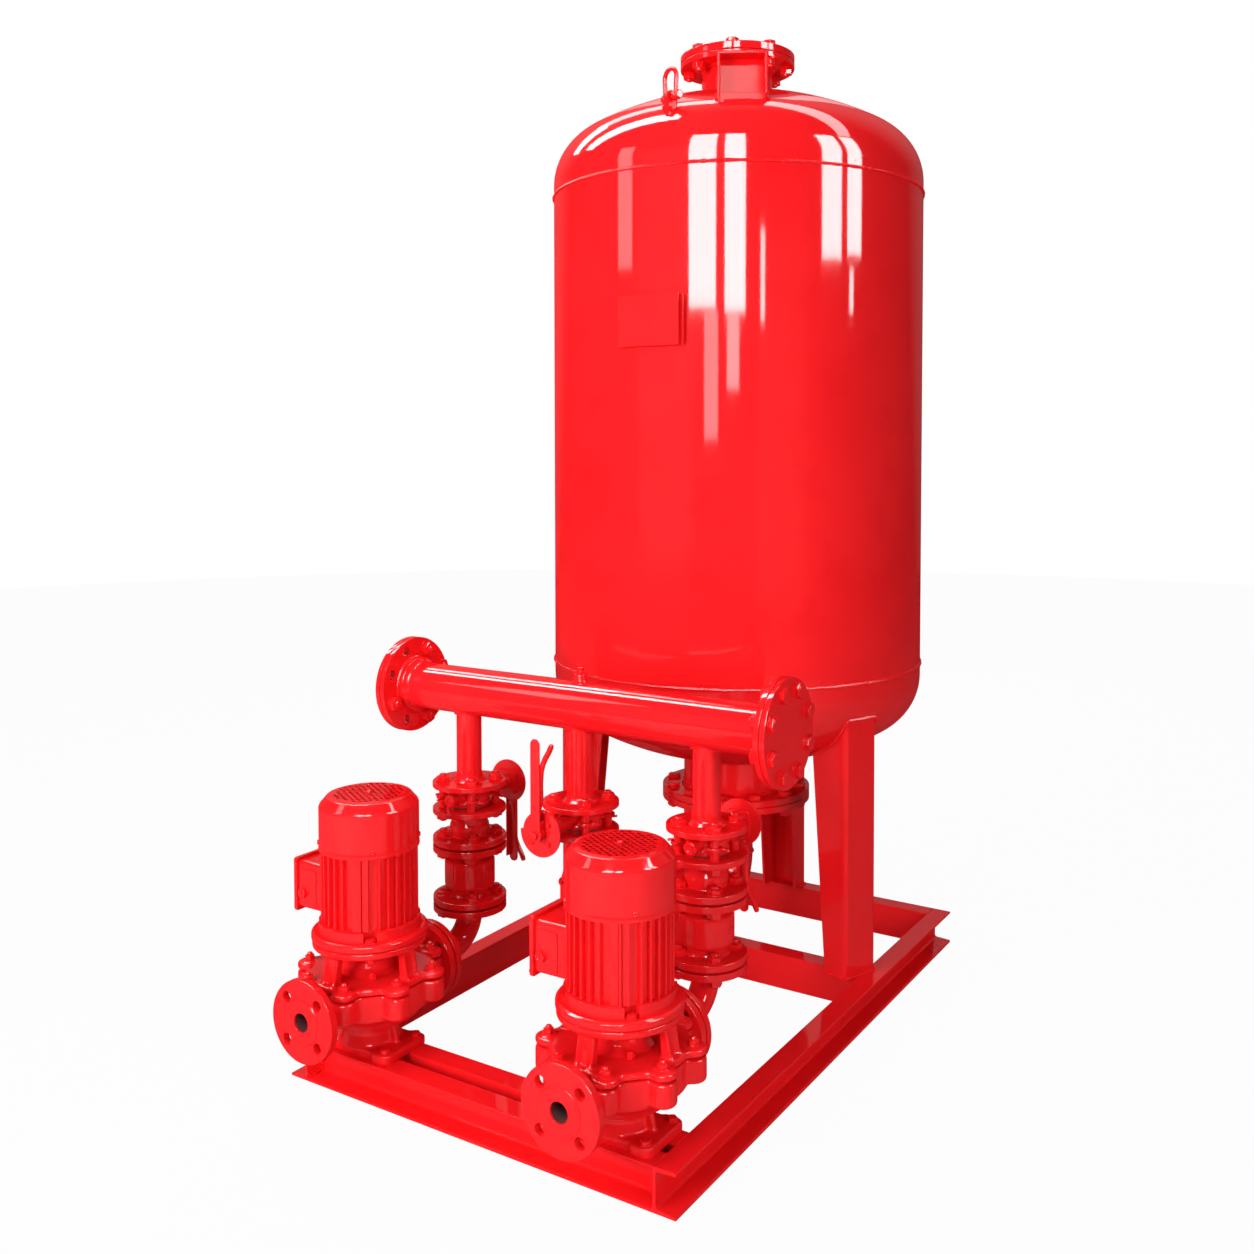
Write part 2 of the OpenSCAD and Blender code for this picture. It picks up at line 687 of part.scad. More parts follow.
// Water way: straight suction bore, dive to the eye, impeller chamber and rise to the discharge
module pump_passages() {
  dive_y = suction_reach - 60;
  dive_drop = 21;
  rise_y = discharge_reach - 38;
  rise_h = chamber_z + 10 - port_z;
  bend_r = bore_r + 0.7;
  translate([0, -suction_reach - cut, port_z]) rotate([-90, 0, 0]) cylinder(r = bore_r, h = 60 + cut);
  translate([0, -dive_y, port_z]) rotate([-90 - atan(dive_drop / (dive_y - 20)), 0, 0])
    cylinder(r = bore_r - 1, h = dive_y - 18);
  translate([0, -dive_y, port_z]) sphere(r = bend_r);
  translate([0, 0, casing_base_z + 8]) cylinder(r = eye_r, h = chamber_z - casing_base_z);
  translate([0, 0, chamber_z]) cylinder(r = chamber_r, h = casing_top_z - chamber_z + cut);
  translate([0, discharge_reach + cut, port_z]) rotate([90, 0, 0]) cylinder(r = bore_r, h = 38 + cut);
  translate([0, rise_y, port_z]) rotate([90 + atan(rise_h / 50), 0, 0]) cylinder(r = 9, h = 54);
  translate([0, rise_y, port_z]) sphere(r = bend_r);
}

// Cover and lantern, one casting with four legs
module pump_cover(side) color(paint) at_pump(side) difference() {
  union() {
    translate([0, 0, cover_z]) lobed(cover_t, casing_d + 4);
    translate([0, 0, cover_z - 3]) cylinder(r = chamber_r - clear, h = 5);
    translate([0, 0, cover_z + 2]) cylinder(r1 = 52, r2 = 40, h = cover_t + 22);
    translate([0, 0, motor_z - lantern_t]) cylinder(d = motor_flange_d - 3, h = lantern_t);
    for (a = [0 : 90 : 270]) rotate([0, 0, a]) lantern_leg();
  }
  translate([0, 0, cover_z - 10]) cylinder(r = shaft_r + 1, h = 60);
  translate([0, 0, cover_z + 6]) cylinder(r = seal_r, h = 60);
  translate([0, 0, motor_z - lantern_t - cut]) cylinder(r = 62, h = lantern_t + 2 * cut);
  translate([0, 0, cover_z - cut]) ring_of(8, stud_circle / 2, 22.5)
    cylinder(d = small_hole_d, h = cover_t + 2 * cut);
  translate([0, 0, motor_z - lantern_t - cut]) ring_of(4, motor_flange_d / 2 - 17, 45)
    cylinder(d = small_hole_d, h = lantern_t + 2 * cut);
}

// Leg of the lantern on the x axis: a leaning wall between two ribs
module lantern_leg() {
  low = cover_z + cover_t - 1;
  high = motor_z - lantern_t + 1;
  foot_r = motor_flange_d / 2 - 6;
  head_r = motor_flange_d / 2 - 12;
  translate([0, 15, 0]) rotate([90, 0, 0]) linear_extrude(30)
    polygon([[foot_r - 9, low], [foot_r, low], [head_r, high], [head_r - 9, high]]);
  for (y = [-9, 15]) translate([0, y, 0]) rotate([90, 0, 0]) linear_extrude(6)
    polygon([[foot_r - 10, low], [foot_r + 9, low], [head_r + 3, high], [head_r - 10, high]]);
}

// Finned motor body with its flange, end plates and bearing seats
module pump_motor(side) color(paint) at_pump(side) difference() {
  shield_h = fin_z - motor_z - motor_flange_t;
  union() {
    translate([0, 0, motor_z]) cylinder(d = motor_flange_d, h = motor_flange_t);
    translate([0, 0, motor_z + motor_flange_t - 1]) linear_extrude(shield_h + 1) difference() {
      circle(d = motor_flange_d - 24);
      ring_of(4, motor_flange_d / 2 - 17, 45) circle(r = 12);
    }
    translate([0, 0, fin_z - 2]) linear_extrude(motor_l + 2) fin_outline();
    for (a = [-rib_angle, rib_angle]) rotate([0, 0, a])
      translate([70, -2, fin_z - 17]) cube([fin_d / 2 - 68, 4, motor_l + 9]);
    translate([0, 0, motor_top_z - 8]) cylinder(d = cowl_d - 2 * cowl_wall - clear, h = 8);
    translate([-box_reach + 52, -box_w / 2 + 6, box_z() + 6]) cube([40, box_w - 12, box_w - 12]);
  }
  difference() {
    translate([0, 0, fin_z - 12]) cylinder(r = stator_r(), h = motor_l + 4);
    translate([0, 0, high_bearing_z - 5]) cylinder(r = bearing_r + 6, h = bearing_h + 9);
  }
  translate([0, 0, motor_z - cut]) cylinder(r = shaft_r + 1, h = motor_top_z - motor_z + 2 * cut);
  translate([0, 0, low_bearing_z]) cylinder(r = bearing_r, h = 60);
  translate([0, 0, high_bearing_z - 20]) cylinder(r = bearing_r, h = bearing_h + 20);
  translate([0, 0, motor_z - cut]) ring_of(4, motor_flange_d / 2 - 17, 45)
    cylinder(d = small_hole_d, h = motor_flange_t + 2 * cut);
}

function stator_r() = fin_d / 2 - 17;
function box_z() = fin_z + motor_l / 2 - box_w / 2 - 23;

// Cross-section of the finned body: fins, and a broad pad on each side of the two long ribs
rib_angle = 56.25;
module fin_outline() {
  circle(d = fin_d - 16);
  for (i = [0 : fins - 1]) if (abs(abs(i * 360 / fins - 180) - 180 + rib_angle) > 12)
    rotate(i * 360 / fins) translate([fin_d / 2 - 14, -1.6]) square([14, 3.2]);
  for (a = [-rib_angle, rib_angle], s = [-13.5, 1.5]) rotate(a)
    translate([fin_d / 2 - 20, s]) square([19, 12]);
}

// Fan cowl with its honeycomb air inlet
module pump_cowl(side) color(paint) at_pump(side) translate([0, 0, motor_top_z - 8]) {
  shoulder = 17;
  top_r = cowl_d / 2 - 15;
  difference() {
    union() {
      cylinder(d = cowl_d, h = cowl_h - shoulder);
      translate([0, 0, cowl_h - shoulder - eps])
        cylinder(r1 = cowl_d / 2, r2 = top_r, h = shoulder - cowl_wall);
    }
    translate([0, 0, -cut]) cylinder(d = cowl_d - 2 * cowl_wall, h = cowl_h - shoulder + cut);
    translate([0, 0, cowl_h - shoulder - 2 * eps])
      cylinder(r1 = cowl_d / 2 - cowl_wall, r2 = top_r - cowl_wall, h = shoulder);
  }
  translate([0, 0, cowl_h - cowl_wall - 2 * eps]) linear_extrude(cowl_wall) difference() {
    circle(top_r);
    air_holes(top_r - 6);
  }
}

module air_holes(reach) {
  pitch = 13;
  for (i = [-5 : 5], j = [-5 : 5]) {
    x = pitch * (i + j / 2);
    y = pitch * j * sin(60);
    if (norm([x, y]) < reach - pitch / 2) translate([x, y]) rotate(30) circle(d = pitch - 1.6, $fn = 6);
  }
}

// Motor shaft with its rotor core and impeller nut
module pump_shaft(side) color(steel) at_pump(side) {
  translate([0, 0, chamber_z + 2]) cylinder(r = shaft_r - fit, h = motor_top_z + 42 - chamber_z);
  translate([0, 0, chamber_z - 8]) cylinder(d = 22, h = 10 + eps, $fn = 6);
  translate([0, 0, fin_z + 10]) cylinder(r = rotor_r, h = motor_l - 58);
}

// Closed impeller with backward-curved vanes, eye downwards
module pump_impeller(side) color(steel) at_pump(side) translate([0, 0, chamber_z + 2]) {
  height = casing_top_z - 1 - chamber_z - 4;
  r = impeller_d / 2;
  difference() {
    union() {
      washer_ring(impeller_d, 2 * eye_r - 4, 3);
      translate([0, 0, -6]) washer_ring(2 * eye_r - 1, 2 * eye_r - 5, 7);
      translate([0, 0, height - 3]) cylinder(r = r, h = 3);
      cylinder(r = shaft_r + 2.5, h = height);
      intersection() {
        cylinder(r = r, h = height);
        ring_of(vanes, 0) impeller_vane(r, height);
      }
    }
    translate([0, 0, -10]) cylinder(r = shaft_r, h = height + 20);
  }
}

// One vane: part of a thin ring that leaves the hub and meets the rim at a slant
module impeller_vane(r, height) {
  vane_r = r * 0.62;
  intersection() {
    translate([0, vane_r, 0]) washer_ring(2 * vane_r + 3, 2 * vane_r - 3, height);
    translate([shaft_r, 0, 0]) cube([r, vane_r * 1.6, height]);
  }
}

// Radial fan on the upper shaft end
module pump_fan(side) color(rubber) at_pump(side) translate([0, 0, motor_top_z + 8]) difference() {
  union() {
    cylinder(r = 22, h = 28);
    cylinder(r = 46, h = 3);
    ring_of(7, 0) translate([18, -1.5, 0]) cube([50, 3, 26]);
  }
  translate([0, 0, -cut]) cylinder(r = shaft_r, h = 30);
}

// Terminal box with its lid and blanking plug, on the left side of each motor
module terminal_boxes() color(paint) for (side = side_signs) at_pump(side) translate([0, 0, box_z()]) {
  lid_t = 8;
  wall = 4;
  gland_in = 20;
  gland_h = 36;
  base_x = box_reach - 52;
  inner = box_w - 12;
  difference() {
    translate([-box_reach + lid_t, -inner / 2, 6]) cube([box_reach - lid_t - base_x, inner, inner]);
    translate([-box_reach + lid_t - cut, -inner / 2 + wall, 6 + wall])
      cube([box_reach - lid_t - base_x - wall + cut, inner - 2 * wall, inner - 2 * wall]);
    translate([-box_reach + gland_in, 0, gland_h]) rotate([90, 0, 0]) cylinder(d = 12, h = inner);
  }
  translate([-box_reach, -box_w / 2, 0]) cube([lid_t, box_w, box_w]);
  translate([-box_reach + gland_in, -inner / 2, gland_h]) rotate([90, 0, 0]) cylinder(d = 17, h = 6);
  translate([-box_reach + gland_in, -inner / 2 + wall, gland_h]) rotate([90, 0, 0])
    cylinder(d = 12 - fit, h = wall + eps);
}

module motor_stators() color("darkorange") for (side = side_signs) at_pump(side) {
  core_start = 10;
  coil_h = 12;
  coil_end = 48;
  translate([0, 0, fin_z + core_start])
    washer_ring(2 * stator_r(), 2 * rotor_r + 1, motor_l - core_start - coil_end);
  for (z = [fin_z + core_start - coil_h, fin_z + motor_l - coil_end]) translate([0, 0, z])
    washer_ring(2 * stator_r() - 8, 2 * rotor_r + 8, coil_h);
}

module shaft_bearings() color(steel) for (side = side_signs, z = [low_bearing_z, high_bearing_z])
  at_pump(side) translate([0, 0, z]) washer_ring(2 * bearing_r, shaft_d, bearing_h);

module shaft_seals() color(rubber) for (side = side_signs) at_pump(side) translate([0, 0, cover_z + 6]) {
  washer_ring(2 * seal_r, shaft_d, 14);
  translate([0, 0, 14]) washer_ring(2 * seal_r - 6, shaft_d, 6);
}

// Places a valve by its number: the middle one faces forward with its lever up, the others are turned over
module at_valve(i) set_down() translate([branch_x[i], stack_y, valve_z])
  rotate([i == 1 ? 0 : 180, 0, 0]) children();

lug_r = 14;
boss_l = 60;
neck_r = 13;
pad_w = 46;
pad_t = 6;
module valve_bodies() color(paint) for (i = [0 : 2]) at_valve(i) difference() {
  half = valve_w / 2 - 2;
  union() {
    translate([0, 0, -half]) cylinder(d = valve_ring_d, h = 2 * half);
    ring_of(4, branch_pcd / 2, 45) translate([-branch_pcd / 4, 0, -5]) {
      translate([branch_pcd / 4, 0, 0]) cylinder(r = lug_r, h = 10);
      translate([0, -lug_r / 2, 0]) cube([branch_pcd / 4, lug_r, 10]);
    }
    rotate([-90, 0, 0]) cylinder(r = 12, h = boss_l);
    rotate([90, 0, 0]) {
      cylinder(r = neck_r, h = neck_l - pad_t);
      translate([-pad_w / 2, -pad_w / 2, neck_l - pad_t]) cube([pad_w, pad_w, pad_t]);
    }
  }
  translate([0, 0, -valve_w]) {
    cylinder(d = valve_bore + 8, h = 2 * valve_w);
    ring_of(4, branch_pcd / 2, 45) cylinder(d = hole_d, h = 2 * valve_w);
  }
  rotate([90, 0, 0]) translate([0, 0, -boss_l + 12]) cylinder(d = stem_d + 2 * fit, h = neck_l + boss_l);
}

// Index plate whose rim has an arc for the latch's tooth, with a stop at each end of it
tooth_y = 37.5;
tooth_x = 5;
tooth_w = 5;
tooth_h = 4;
arc_start = atan2(tooth_y + 1.5, tooth_x + tooth_w / 2 + 2);
arc_end = valve_turn + atan2(tooth_y + tooth_h, tooth_x - tooth_w / 2 - clear);
module index_plates() color(paint) for (i = [0 : 2]) at_valve(i) translate([0, -neck_l, 0]) rotate([90, 0, 0])
  difference() {
    cylinder(d = index_d, h = index_t);
    translate([0, 0, -cut]) {
      cylinder(d = stem_d + 2 * fit, h = index_t + 2 * cut);
      rotate([0, 0, arc_start]) rotate_extrude(angle = arc_end - arc_start)
        translate([tooth_y - clear, 0]) square([20, index_t + 2 * cut]);
      for (a = [-60, -20]) rotate([0, 0, a]) translate([30, 0, 0]) cylinder(d = 6, h = index_t + 2 * cut);
    }
  }

// Disc and stem of a butterfly valve, standing open
module valve_disc(i) color(steel) at_valve(i) {
  disc_r = valve_bore / 2 - 0.4;
  rotate([0, 90, 0]) translate([0, 0, -3]) cylinder(r = disc_r, h = 6);
  rotate([90, 0, 0]) {
    translate([0, 0, 2.5 - disc_r]) cylinder(r = 7, h = 2 * disc_r - 5);
    translate([0, 0, -boss_l + 14]) cylinder(d = stem_d, h = neck_l + index_t + boss_l - 2);
  }
}

// Pressed channel lever on the stem, open towards the index plate and cut away beside the latch
lever_depth = 14;
lever_wall = 2.5;
latch_pivot = [-2.5, 47];
latch_gate = 26;
module valve_lever(i) color(paint) at_valve(i) translate([0, -neck_l - index_t - 1, 0]) rotate([90, 0, 0]) {
  inner = lever_w - 2 * lever_wall;
  difference() {
    union() {
      translate([-lever_w / 2, 0, 0]) cube([lever_w, lever_l - lever_w / 2, lever_depth]);
      translate([0, lever_l - lever_w / 2, 0]) cylinder(d = lever_w, h = lever_depth);
      cylinder(r = lever_w / 2 + 3, h = lever_depth);
    }
    translate([-inner / 2, lever_w / 2 + 3, -cut])
      cube([inner, lever_l - lever_w - 3, lever_depth - lever_wall + cut]);
    translate([0, lever_l - lever_w / 2, -cut]) cylinder(d = inner, h = lever_depth - lever_wall + cut);
    translate([0, latch_gate, -cut]) cube([lever_w, lever_l - latch_gate, lever_depth - lever_wall + cut]);
    translate([0, 0, -cut]) cylinder(d = stem_d + 2 * fit, h = lever_depth - 2);
  }
  translate([0, 0, lever_depth - eps]) cylinder(d = 15, h = 5, $fn = 6);
  translate([latch_pivot[0], latch_pivot[1], 3]) cylinder(d = 4, h = lever_depth - 3 - lever_wall + eps);
}

// Squeeze latch beside the lever: a bent strip on the lever's pin with a tooth in the index plate
module latch(i) color(paint) at_valve(i) translate([0, -neck_l - index_t - 1, 0]) rotate([90, 0, 0]) {
  tooth_left = tooth_x - tooth_w / 2;
  outline = [[tooth_left, tooth_y], [tooth_left + tooth_w, tooth_y], [tooth_left + tooth_w, 44], [12, 62],
    [13.5, lever_l - 56], [33, lever_l - 12], [31, lever_l - 6], [26, lever_l - 8], [9, lever_l - 50],
    [4, 66], [-2, 51], [-6.5, 49], [-6.5, 45], [0, 42]];
  difference() {
    union() {
      translate([0, 0, 3]) linear_extrude(7) polygon(outline);
      translate([tooth_left, tooth_y, -index_t - 1]) cube([tooth_w, tooth_h, index_t + 5]);
    }
    translate([latch_pivot[0], latch_pivot[1], -cut]) cylinder(d = 4 + 2 * fit, h = lever_depth + cut);
  }
}

// Check valve, drawn upwards from its lower flange face on z = 0
module at_check(side) set_down() translate([side * pump_pitch / 2, stack_y, check_z]) children();
seat_z = 34;
guide_z = 78;
guide_r = 5;
module check_bodies() color(paint) for (side = side_signs) at_check(side) difference() {
  bore_d = riser_d - 2 * pipe_wall;
  cavity_h = check_l - seat_z - branch_flange_t - 2;
  union() {
    cylinder(d = branch_flange_d, h = branch_flange_t);
    translate([0, 0, check_l - branch_flange_t]) cylinder(d = branch_flange_d, h = branch_flange_t);
    translate([0, 0, 1]) cylinder(d = check_d - 22, h = check_l - 2);
    translate([0, 0, 31]) cylinder(d = check_d, h = check_l - 62);
  }
  translate([0, 0, -cut]) cylinder(d = bore_d, h = seat_z + 2 * cut);
  translate([0, 0, seat_z + cavity_h - cut]) cylinder(d = bore_d, h = check_l);
  difference() {
    translate([0, 0, seat_z]) cylinder(d = check_d - 34, h = cavity_h);
    translate([0, 0, guide_z]) rod_guide();
  }
  for (z = [-cut, check_l - branch_flange_t - cut]) translate([0, 0, z])
    ring_of(4, branch_pcd / 2, 45) cylinder(d = hole_d, h = branch_flange_t + 2 * cut);
}

// Cross of two bars that guides the rod of a check disc
module rod_guide() difference() {
  union() {
    cylinder(r = guide_r + 4, h = 8);
    for (a = [0, 90]) rotate([0, 0, a]) translate([4 - check_d / 2, -3, 0]) cube([check_d - 8, 6, 8]);
  }
  translate([0, 0, -cut]) cylinder(r = guide_r, h = 8 + 2 * cut);
}

module check_disc(side) color(steel) at_check(side) translate([0, 0, seat_z]) {
  cylinder(r = riser_d / 2 + 2, h = 6);
  cylinder(r = 9, h = 16);
  cylinder(r = guide_r - fit, h = guide_z - seat_z + 14);
}

// Plain tube of the spring's outer size between disc and guide
module check_spring(side) color(steel) at_check(side) translate([0, 0, seat_z + 6 + clear])
  washer_ring(27, 20, guide_z - seat_z - 6 - 2 * clear);

// Flexible joint: two loose flanges on a bulged neck
module flex_joints() color(paint) for (side = side_signs) set_down()
  translate([side * pump_pitch / 2, stack_y, flex_z]) difference() {
    bulge_r = 37;
    union() {
      cylinder(d = branch_flange_d, h = branch_flange_t);
      translate([0, 0, flex_l - thin_flange_t]) cylinder(d = branch_flange_d, h = thin_flange_t);
      cylinder(r = 32, h = flex_l);
      translate([0, 0, branch_flange_t + 5])
        cylinder(r = bulge_r, h = flex_l - branch_flange_t - thin_flange_t - 16);
      translate([0, 0, flex_l - thin_flange_t - 11 - eps]) cylinder(r1 = bulge_r, r2 = 32, h = 7);
    }
    translate([0, 0, -cut]) cylinder(d = riser_d - 2 * pipe_wall, h = flex_l + 2 * cut);
    translate([0, 0, -cut]) for (z = [0, flex_l - branch_flange_t]) translate([0, 0, z])
      ring_of(4, branch_pcd / 2, 45) cylinder(d = hole_d, h = branch_flange_t + 2 * cut);
  }

module discharge_elbows() color(paint) for (side = side_signs) set_down()
  translate([side * pump_pitch / 2, stack_y, port_z + elbow_r]) {
    inner_d = riser_d - 2 * pipe_wall;
    stub = stack_y - elbow_r - discharge_y - port_gasket_t;
    pipe_bend(elbow_r, riser_d, pipe_wall);
    tube(riser_d, elbow_stub, pipe_wall);
    translate([0, 0, elbow_stub])
      flange(branch_flange_d, branch_flange_t, branch_pcd, 4, 45, inner_d);
    translate([0, -elbow_r, -elbow_r]) rotate([90, 0, 0]) {
      tube(riser_d, stub, pipe_wall);
      translate([0, 0, stub - branch_flange_t])
        flange(branch_flange_d, branch_flange_t, branch_pcd, 4, 45, inner_d, close_hole_d);
    }
  }

module gaskets() color(rubber) {
  seal_d = branch_pcd - hole_d - 2;
  for (side = side_signs) {
    at_check(side) {
      translate([0, 0, -gasket_t]) washer_ring(seal_d, riser_d - 2 * pipe_wall, gasket_t);
      translate([0, 0, check_l]) washer_ring(seal_d, riser_d - 2 * pipe_wall, gasket_t);
    }
    set_down() translate([side * pump_pitch / 2, discharge_y, port_z]) rotate([-90, 0, 0])
      washer_ring(branch_pcd - 22, line_bore + 4, port_gasket_t);
    at_pump(side) translate([0, 0, casing_top_z])
      washer_ring(casing_d - 16, 2 * chamber_r + 6, cover_z - casing_top_z);
    set_down() translate([side * header_l / 2, stack_y, header_z]) rotate([0, side * 90, 0])
      washer_ring(header_pcd - hole_d - 4, header_d, 1);
  }
  on_tank(top_joint_z) washer_ring(top_pcd - hole_d - 2, top_neck_d, gasket_t / 4);
  on_tank(bottom_joint_z - gasket_t / 4) washer_ring(bottom_pcd - hole_d - 2, bottom_neck_d, gasket_t / 4);
  for (i = [0 : 2]) at_valve(i) difference() {
    union() {
      translate([0, 0, -valve_w / 2]) cylinder(d = valve_bore + 8 - fit, h = valve_w);
      for (z = [-valve_w / 2, valve_w / 2 - 2]) translate([0, 0, z]) cylinder(d = valve_ring_d - 6, h = 2);
    }
    translate([0, 0, -valve_w]) cylinder(d = valve_bore, h = 2 * valve_w);
    rotate([90, 0, 0]) translate([0, 0, -valve_w]) cylinder(d = stem_d + 2 * fit, h = 2 * valve_w);
  }
}

module flange_bolts() color(paint) {
  thin = thin_flange_t;
  for (x = branch_x) set_down() translate([x, stack_y, riser_face_z + thin])
    ring_of(4, branch_pcd / 2, 45) hex_bolt(bolt_d, valve_w + 2 * thin);
  for (side = side_signs) {
    at_check(side) {
      translate([0, 0, branch_flange_t]) ring_of(4, branch_pcd / 2, 45)
        hex_bolt(bolt_d, 2 * branch_flange_t + gasket_t);
      translate([0, 0, check_l + gasket_t + branch_flange_t]) ring_of(4, branch_pcd / 2, 45)
        hex_bolt(bolt_d, 2 * branch_flange_t + gasket_t);
    }
    set_down() translate([side * pump_pitch / 2, discharge_y + port_gasket_t + branch_flange_t, port_z])
      rotate([-90, 0, 0]) ring_of(4, branch_pcd / 2, 45)
        hex_bolt(bolt_d, port_flange_t + port_gasket_t + branch_flange_t - bolt_d, false);
  }
  header_end_bolts();
  on_tank(top_joint_z + gasket_t / 4 + top_cover_t) ring_of(top_bolts, top_pcd / 2, 180 / top_bolts)
    hex_bolt(bolt_d, top_cover_t + top_flange_t + gasket_t / 4);
  on_tank(bottom_joint_z + bottom_flange_t) ring_of(bottom_bolts, bottom_pcd / 2, 180 / bottom_bolts)
    hex_bolt(bolt_d, 2 * bottom_flange_t + gasket_t / 4);
}

// The right blind is fully bolted, the left one is held by every other bolt, as it was delivered
left_filled = [67.5, 22.5, -22.5, -67.5, -157.5];
module header_end_bolts() set_down() {
  reach = header_l / 2 + 1 + header_flange_t;
  grip = 2 * header_flange_t + 1;
  translate([reach, stack_y, header_z]) rotate([0, 90, 0])
    ring_of(8, header_pcd / 2, 22.5) hex_bolt(bolt_d, grip);
  translate([-reach, stack_y, header_z]) rotate([0, -90, 0]) for (a = left_filled)
    rotate([0, 0, 90]) rotate([0, 0, -a]) translate([header_pcd / 2, 0, 0]) hex_bolt(bolt_d, grip);
}

module pump_bolts() color(paint) for (side = side_signs) at_pump(side) {
  translate([0, 0, cover_z + cover_t]) ring_of(8, stud_circle / 2, 22.5) {
    rotate([0, 0, 30]) cylinder(d = small_bolt_d * 1.8, h = 9, $fn = 6);
    translate([0, 0, -cover_t - 20]) cylinder(d = small_bolt_d - fit, h = cover_t + 34);
  }
  translate([0, 0, motor_z + motor_flange_t]) ring_of(4, motor_flange_d / 2 - 17, 45)
    hex_bolt(small_bolt_d, motor_flange_t + lantern_t);
  for (s = side_signs, t = side_signs)
    translate([s * foot_bolt_x / 2, t * foot_bolt_y / 2, foot_z + foot_t])
      hex_bolt(small_bolt_d, foot_t + flange_t + 2);
  rotate([0, 0, -42]) translate([63, 0, cover_z + cover_t]) cylinder(d = 14, h = 14, $fn = 6);
}

frame_left();
frame_right();
frame_front();
frame_rear();
cross_beams();
tank_shell();
tank_top_head();
tank_bottom_head();
tank_necks();
tank_legs();
tank_bladder();
top_cover();
bottom_cover();
head_fittings();
nameplate();
shackle();
header_pipe();
header_risers();
header_blinds();
gauge_plug();
tank_branch();
pump_casing(-1);  // pump_left_casing
pump_cover(-1);  // pump_left_cover
pump_motor(-1);  // pump_left_motor
pump_cowl(-1);  // pump_left_cowl
pump_shaft(-1);  // pump_left_shaft
pump_impeller(-1);  // pump_left_impeller
pump_fan(-1);  // pump_left_fan
pump_casing(1);  // pump_right_casing
pump_cover(1);  // pump_right_cover
pump_motor(1);  // pump_right_motor
pump_cowl(1);  // pump_right_cowl
pump_shaft(1);  // pump_right_shaft
pump_impeller(1);  // pump_right_impeller
pump_fan(1);  // pump_right_fan
terminal_boxes();
motor_stators();
shaft_bearings();
shaft_seals();
valve_bodies();
index_plates();
valve_disc(0);  // valve_left_disc
valve_disc(2);  // valve_right_disc
valve_disc(1);  // valve_tank_disc
valve_lever(0);  // valve_left_lever
valve_lever(2);  // valve_right_lever
valve_lever(1);  // valve_tank_lever
latch(0);  // latch_left
latch(2);  // latch_right
latch(1);  // latch_tank
check_bodies();
check_disc(-1);  // check_disc_left
check_disc(1);  // check_disc_right
check_spring(-1);  // check_spring_left
check_spring(1);  // check_spring_right
flex_joints();
discharge_elbows();
gaskets();
flange_bolts();
pump_bolts();
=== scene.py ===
from math import acos, atan2, cos, degrees, hypot, pi, radians, sin, sqrt, tan
import bpy, bmesh
from mathutils import Euler, Matrix, Vector, noise


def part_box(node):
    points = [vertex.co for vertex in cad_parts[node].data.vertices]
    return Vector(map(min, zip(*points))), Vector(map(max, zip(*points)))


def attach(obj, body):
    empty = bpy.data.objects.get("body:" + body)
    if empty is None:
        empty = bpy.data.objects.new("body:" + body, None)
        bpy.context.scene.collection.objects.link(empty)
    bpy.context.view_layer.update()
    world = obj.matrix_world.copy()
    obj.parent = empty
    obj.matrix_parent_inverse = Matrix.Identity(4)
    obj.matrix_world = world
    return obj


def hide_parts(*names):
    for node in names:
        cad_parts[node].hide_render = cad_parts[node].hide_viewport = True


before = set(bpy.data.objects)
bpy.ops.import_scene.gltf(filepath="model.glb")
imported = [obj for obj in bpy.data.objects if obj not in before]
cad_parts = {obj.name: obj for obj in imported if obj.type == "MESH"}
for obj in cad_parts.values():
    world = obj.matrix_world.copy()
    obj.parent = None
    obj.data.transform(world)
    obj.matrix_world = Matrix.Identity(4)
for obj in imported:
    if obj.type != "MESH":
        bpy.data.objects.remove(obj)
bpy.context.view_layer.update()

# Everything is measured in millimetres from the skid's front edge and turned into the frame's metres at the end
toMetres = Matrix.Scale(0.001, 4)
toFrame = Matrix.Translation((0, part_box("frame_left")[0].y, 0)) @ toMetres
scene = bpy.context.scene

# The photograph's camera
view = {"place": (1.3089, -2.1192, 1.1177), "turn": (87.88, 0, 31.84), "lens": 35.77, "shift": (-0.0264, -0.1063)}
camera = bpy.data.objects.new("camera", bpy.data.cameras.new("camera"))
scene.collection.objects.link(camera)
camera.location = view["place"]
camera.rotation_euler = [radians(a) for a in view["turn"]]
camera.data.sensor_width = 36
camera.data.lens = view["lens"]
camera.data.shift_x, camera.data.shift_y = view["shift"]
camera.data.clip_end = 100
scene.camera = camera
scene.view_settings.view_transform = "Standard"


class Signal:
    # A node's output that sums and scales like a number
    def __init__(self, paint, socket):
        self.paint, self.socket = paint, socket

    def maths(self, operation, a, b):
        return self.paint.node("Math", {"operation": operation}, {0: a, 1: b})

    def __add__(self, other): return self.maths("ADD", self, other)
    def __sub__(self, other): return self.maths("SUBTRACT", self, other)
    def __rsub__(self, other): return self.maths("SUBTRACT", other, self)
    def __mul__(self, other): return self.maths("MULTIPLY", self, other)
    __radd__, __rmul__ = __add__, __mul__


